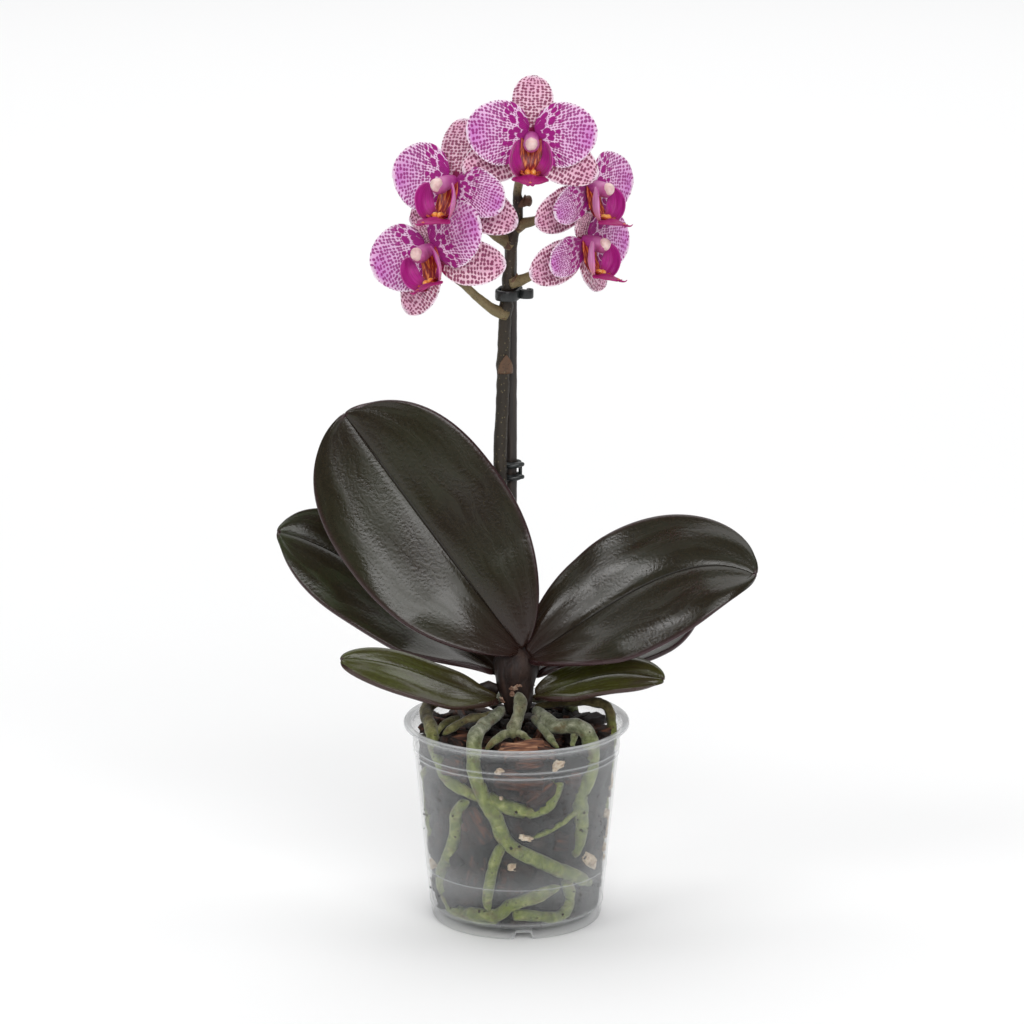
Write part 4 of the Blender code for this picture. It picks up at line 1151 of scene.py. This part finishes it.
def lip_skins():
    """Skins of the side lobes' inner and outer faces, the mid lobe and the throat."""
    g = Shader("lip_lobe", 0.35, {"Sheen Weight": 0.2})
    lines, along, across = g.lines_along(12.0, 1.6)
    colour = g.ramp(lines, (0.3, rgb(140, 2, 104)), (0.5, rgb(172, 8, 130)), (0.72, rgb(192, 30, 152)))
    colour = g.mix(g.span(along, 0.26, 0.0), colour, rgb(128, 8, 24))
    colour = g.mix(g.span(g.positive(across), 0.94, 1.0, 0, 0.35), colour, rgb(210, 100, 176))
    lobe = g.finish_with(colour, lines, (0.38, 0.55), (0.0002, 0.5))

    g = Shader("lip_back", 0.35)
    lines, along, across = g.lines_along(9.0, 1.2)
    colour = g.ramp(lines, (0.3, rgb(176, 84, 140)), (0.5, rgb(206, 126, 176)), (0.72, rgb(232, 182, 212)))
    colour = g.mix(g.span(along, 0.4, 0.0, 0, 0.8), colour, rgb(214, 120, 96))
    back = g.finish_with(colour, lines, (0.4, 0.55), (0.0002, 0.4))

    g = Shader("lip_mid", 0.4)
    lines, along, across = g.lines_along(8.0, 2.0)
    colour = g.ramp(lines, (0.3, rgb(128, 6, 72)), (0.5, rgb(158, 12, 100)), (0.72, rgb(178, 34, 122)))
    root = g.times(g.span(along, 0.24, 0.08), g.span(g.positive(across), 0.6, 0.35))
    colour = g.mix(root, colour, rgb(222, 128, 58))
    mid = g.finish_with(colour, lines, (0.35, 0.5), (0.0002, 0.5))

    g = Shader("lip_throat", 0.5)
    stripe = g.lines_along(5.0, 5.0, 2)[0]
    colour = g.ramp(stripe, (0.36, rgb(112, 4, 18)), (0.5, rgb(146, 18, 22)), (0.6, rgb(214, 110, 48)),
                    (0.75, rgb(244, 176, 92)))
    throat = g.finish_with(colour, stripe, (0.3, 0.45), (0.0003, 0.5))
    return lobe, back, mid, throat


def callus_skin():
    stops = (0.35, rgb(232, 120, 40)), (0.55, rgb(248, 176, 84)), (0.75, rgb(252, 214, 150))
    return plain_skin("callus_skin", 0.5, (900, 3), stops, (0.3, 0.45), (0.0002, 0.5))


def column_skins():
    g = Shader("column_skin", 0.4, {"Subsurface Weight": 0.15, "Subsurface Scale": 1.0,
                                    "Subsurface Radius": (0.001, 0.0005, 0.0007)})
    soft = g.noise(330, 3)
    place = g.plus(g.attribute("along"), g.by_noise(soft, -0.14, 0.14))
    colour = g.ramp(place, (0.1, rgb(150, 20, 114)), (0.4, rgb(172, 72, 142)), (0.75, rgb(196, 116, 168)),
                    (0.95, rgb(180, 84, 140)))
    body = g.finish_with(colour, soft, (0.35, 0.5), (0.0003, 0.4))
    g = Shader("anther_cap", 0.5, {"Subsurface Weight": 0.2, "Subsurface Scale": 1.0,
                                   "Subsurface Radius": (0.001, 0.0007, 0.0006)})
    soft = g.noise(500, 3)
    colour = g.ramp(soft, (0.3, rgb(206, 164, 166)), (0.5, rgb(226, 192, 188)), (0.7, rgb(240, 216, 210)))
    cap = g.finish_with(colour, soft, (0.3, 0.42), (0.0002, 0.4))
    return body, cap


SIDE_LOBE = dict(mid=[(1.4, -4.6, -8.2), (4.5, -5.6, -7.4), (5.9, -6.0, -3.6), (3.5, -5.4, 0.2)],
                 face=[(-1, -0.7, 0.2), (-1, -0.65, -0.2)], half=2.6, widest=0.55, base=0.5, tip=2.2,
                 fold=(6, 10, 10), camber=-0.16)
MID_LOBE = dict(mid=[(0, -5.4, -8.2), (0, -7.6, -7.6), (0, -9.8, -8.4), (0, -12.2, -9.8)],
                face=[(0, -0.45, 1), (0, -0.65, 1)], half=4.9, widest=0.36, base=0.42, tip=1.2,
                fold=(-8, -14, -10), camber=0.04)


def throat(t, s):
    """Trough between the side lobes, from under the column to the mid lobe."""
    place = bezier([(0, -1.6, -0.4), (0, -2.2, -7.6), (0, -4.6, -9.2), (0, -7.4, -8.2)], t)[0]
    half = np.interp(t, [0, 0.4, 1], [2.6, 2.9, 2.5])
    return place + np.array([s * half, -0.165 * (1 - s * s), 1.5 * s * s * (1 - 0.5 * t)])


def bulb(centre, radii, steps=20):
    bm = bmesh.new()
    bmesh.ops.create_uvsphere(bm, u_segments=2 * steps, v_segments=steps, radius=MM)
    mesh = mesh_of(bm, "bulb")
    mesh.transform(Matrix.Translation(Vector(centre) * MM) @ Matrix.Diagonal((*radii, 1)))
    return mesh


def vein_marks(form, is_petal):
    """Marks for sheet: how far along, and a value that stays the same along each vein."""
    def marks(u, s):
        t = eased(u)
        wide = width_at(t, form["widest"], form["base"], form["tip"])
        vein = s * wide / (0.25 + 0.75 * t) if is_petal else s * (0.55 + 0.45 * wide)
        return {"along": t, "vein": vein}
    return marks


def make_lip(title, place, mirror, seed, skins):
    lobe, back, mid, gullet, callus = skins

    def ear(t, s):
        return blade(t, s, ripple=0.4, seed=seed, **SIDE_LOBE)

    def tongue(t, s):
        return blade(t, s, ripple=0.3, seed=seed, **MID_LOBE)

    far_ear = sheet(ear, 20, 16, place=mirror)
    far_ear.flip_normals()
    ears = merged(sheet(ear, 20, 16, place=place), far_ear)
    thicken(piece(title + "_lip_lobes", ears, [lobe, back], "lip_magenta", title + "_lip"), 0.32, 1, 1)
    thicken(piece(title + "_lip_tongue", sheet(tongue, 24, 18, place=place), [mid], "lip_magenta"), 0.5)
    tips = []
    for side in (-1, 1):
        stops = [(0, -12.0, -9.6), (side * 0.4, -12.9, -10.0), (side * 0.8, -13.6, -10.0),
                 (side * 1.1, -14.0, -9.6)]
        tips.append(tube(smooth_path(stops, 18), spread([0.4, 0.3, 0.2, 0.1], 18), 4))
    tips = merged(*tips)
    tips.transform(place)
    piece(title + "_lip_tips", tips, [mid], "lip_magenta")
    thicken(piece(title + "_lip_throat", sheet(throat, 16, 12, place=place), [gullet], "lip_magenta"), 0.5)
    knobs = merged(*(bulb((side * 0.75, -5.9, -7.5), (0.75, 1.1, 0.8), 10) for side in (-1, 1)))
    knobs.transform(place)
    piece(title + "_callus", knobs, [callus], "lip_magenta")


def make_column(title, place, seed, body, cap):
    stops = [(0, 0.2, 0.5), (0, -2.2, 0.5), (0, -4.4, 0.0), (0, -6.0, -0.9), (0, -6.8, -2.2)]
    radii = rounded_ends(spread([2.0, 1.8, 1.85, 2.05, 1.5], 40), 5)
    rod = tube(smooth_path(stops, 40), radii, 9)
    rod.transform(place)
    piece(title + "_column_body", rod, [body], "column_pink", title + "_column")
    hood = bulb((0, 0, 0), (1.55, 1.7, 1.65))
    tilt = Matrix.Rotation(-0.5, 4, "X")
    hood.transform(place @ Matrix.Translation(Vector((0, -6.9, -0.3)) * MM) @ tilt)
    roughen(hood, 0.18, 1.4, seed)
    piece(title + "_anther", hood, [cap], "column_pink")


def make_blooms():
    petal = spotted("petal_skin", rgb(240, 200, 232), rgb(206, 120, 200), rgb(150, 22, 122),
                    rgb(162, 12, 128), 7.0, 19.0, 0.42)
    sepal = spotted("sepal_skin", rgb(244, 206, 220), rgb(232, 172, 200), rgb(128, 24, 78),
                    rgb(140, 16, 78), 5.0, 21.0, 0.16)
    skins = {"petal": (petal, "petal_pink"), "sepal": (sepal, "sepal_pink")}
    lip = (*lip_skins(), callus_skin())
    column = column_skins()
    for index, (bloom, (centre, angles, size, top, low, right, left)) in enumerate(BLOOMS.items()):
        title = "bloom_" + bloom
        yaw, pitch, roll = (Matrix.Rotation(math.radians(a), 4, axis) for a, axis in zip(angles, "ZXY"))
        place = Matrix.Translation(Vector(centre) * MM) @ yaw @ pitch @ roll @ Matrix.Scale(size, 4)
        mirror = place @ Matrix.Diagonal((-1, 1, 1, 1))
        parts = [("dorsal", "sepal", top, place, 0.5), ("right", "sepal", low, place, 0.6),
                 ("left", "sepal", low, mirror, 0.6), ("right", "petal", right, place, 0.9),
                 ("left", "petal", left, mirror, 0.9)]
        for number, (side, kind, form, spot, ripple) in enumerate(parts, 1):
            def shape(t, s, form=form, ripple=ripple, seed=index * 7.3 + number):
                return blade(t, s, ripple=ripple, seed=seed, **form)
            mesh = sheet(shape, 26, 22, vein_marks(form, kind == "petal"), spot)
            skin, slot = skins[kind]
            node = "%s_%s_%s" % (title, side, kind)
            thicken(piece(node + "_skin", mesh, [skin], slot, node), 0.38 * size)
        make_lip(title, place, mirror, index, lip)
        make_column(title, place, index, *column)


make_studio()
make_pot()
make_mix(make_roots())
make_leaves()
make_stem_base()
make_spike()
make_supports()
make_blooms()
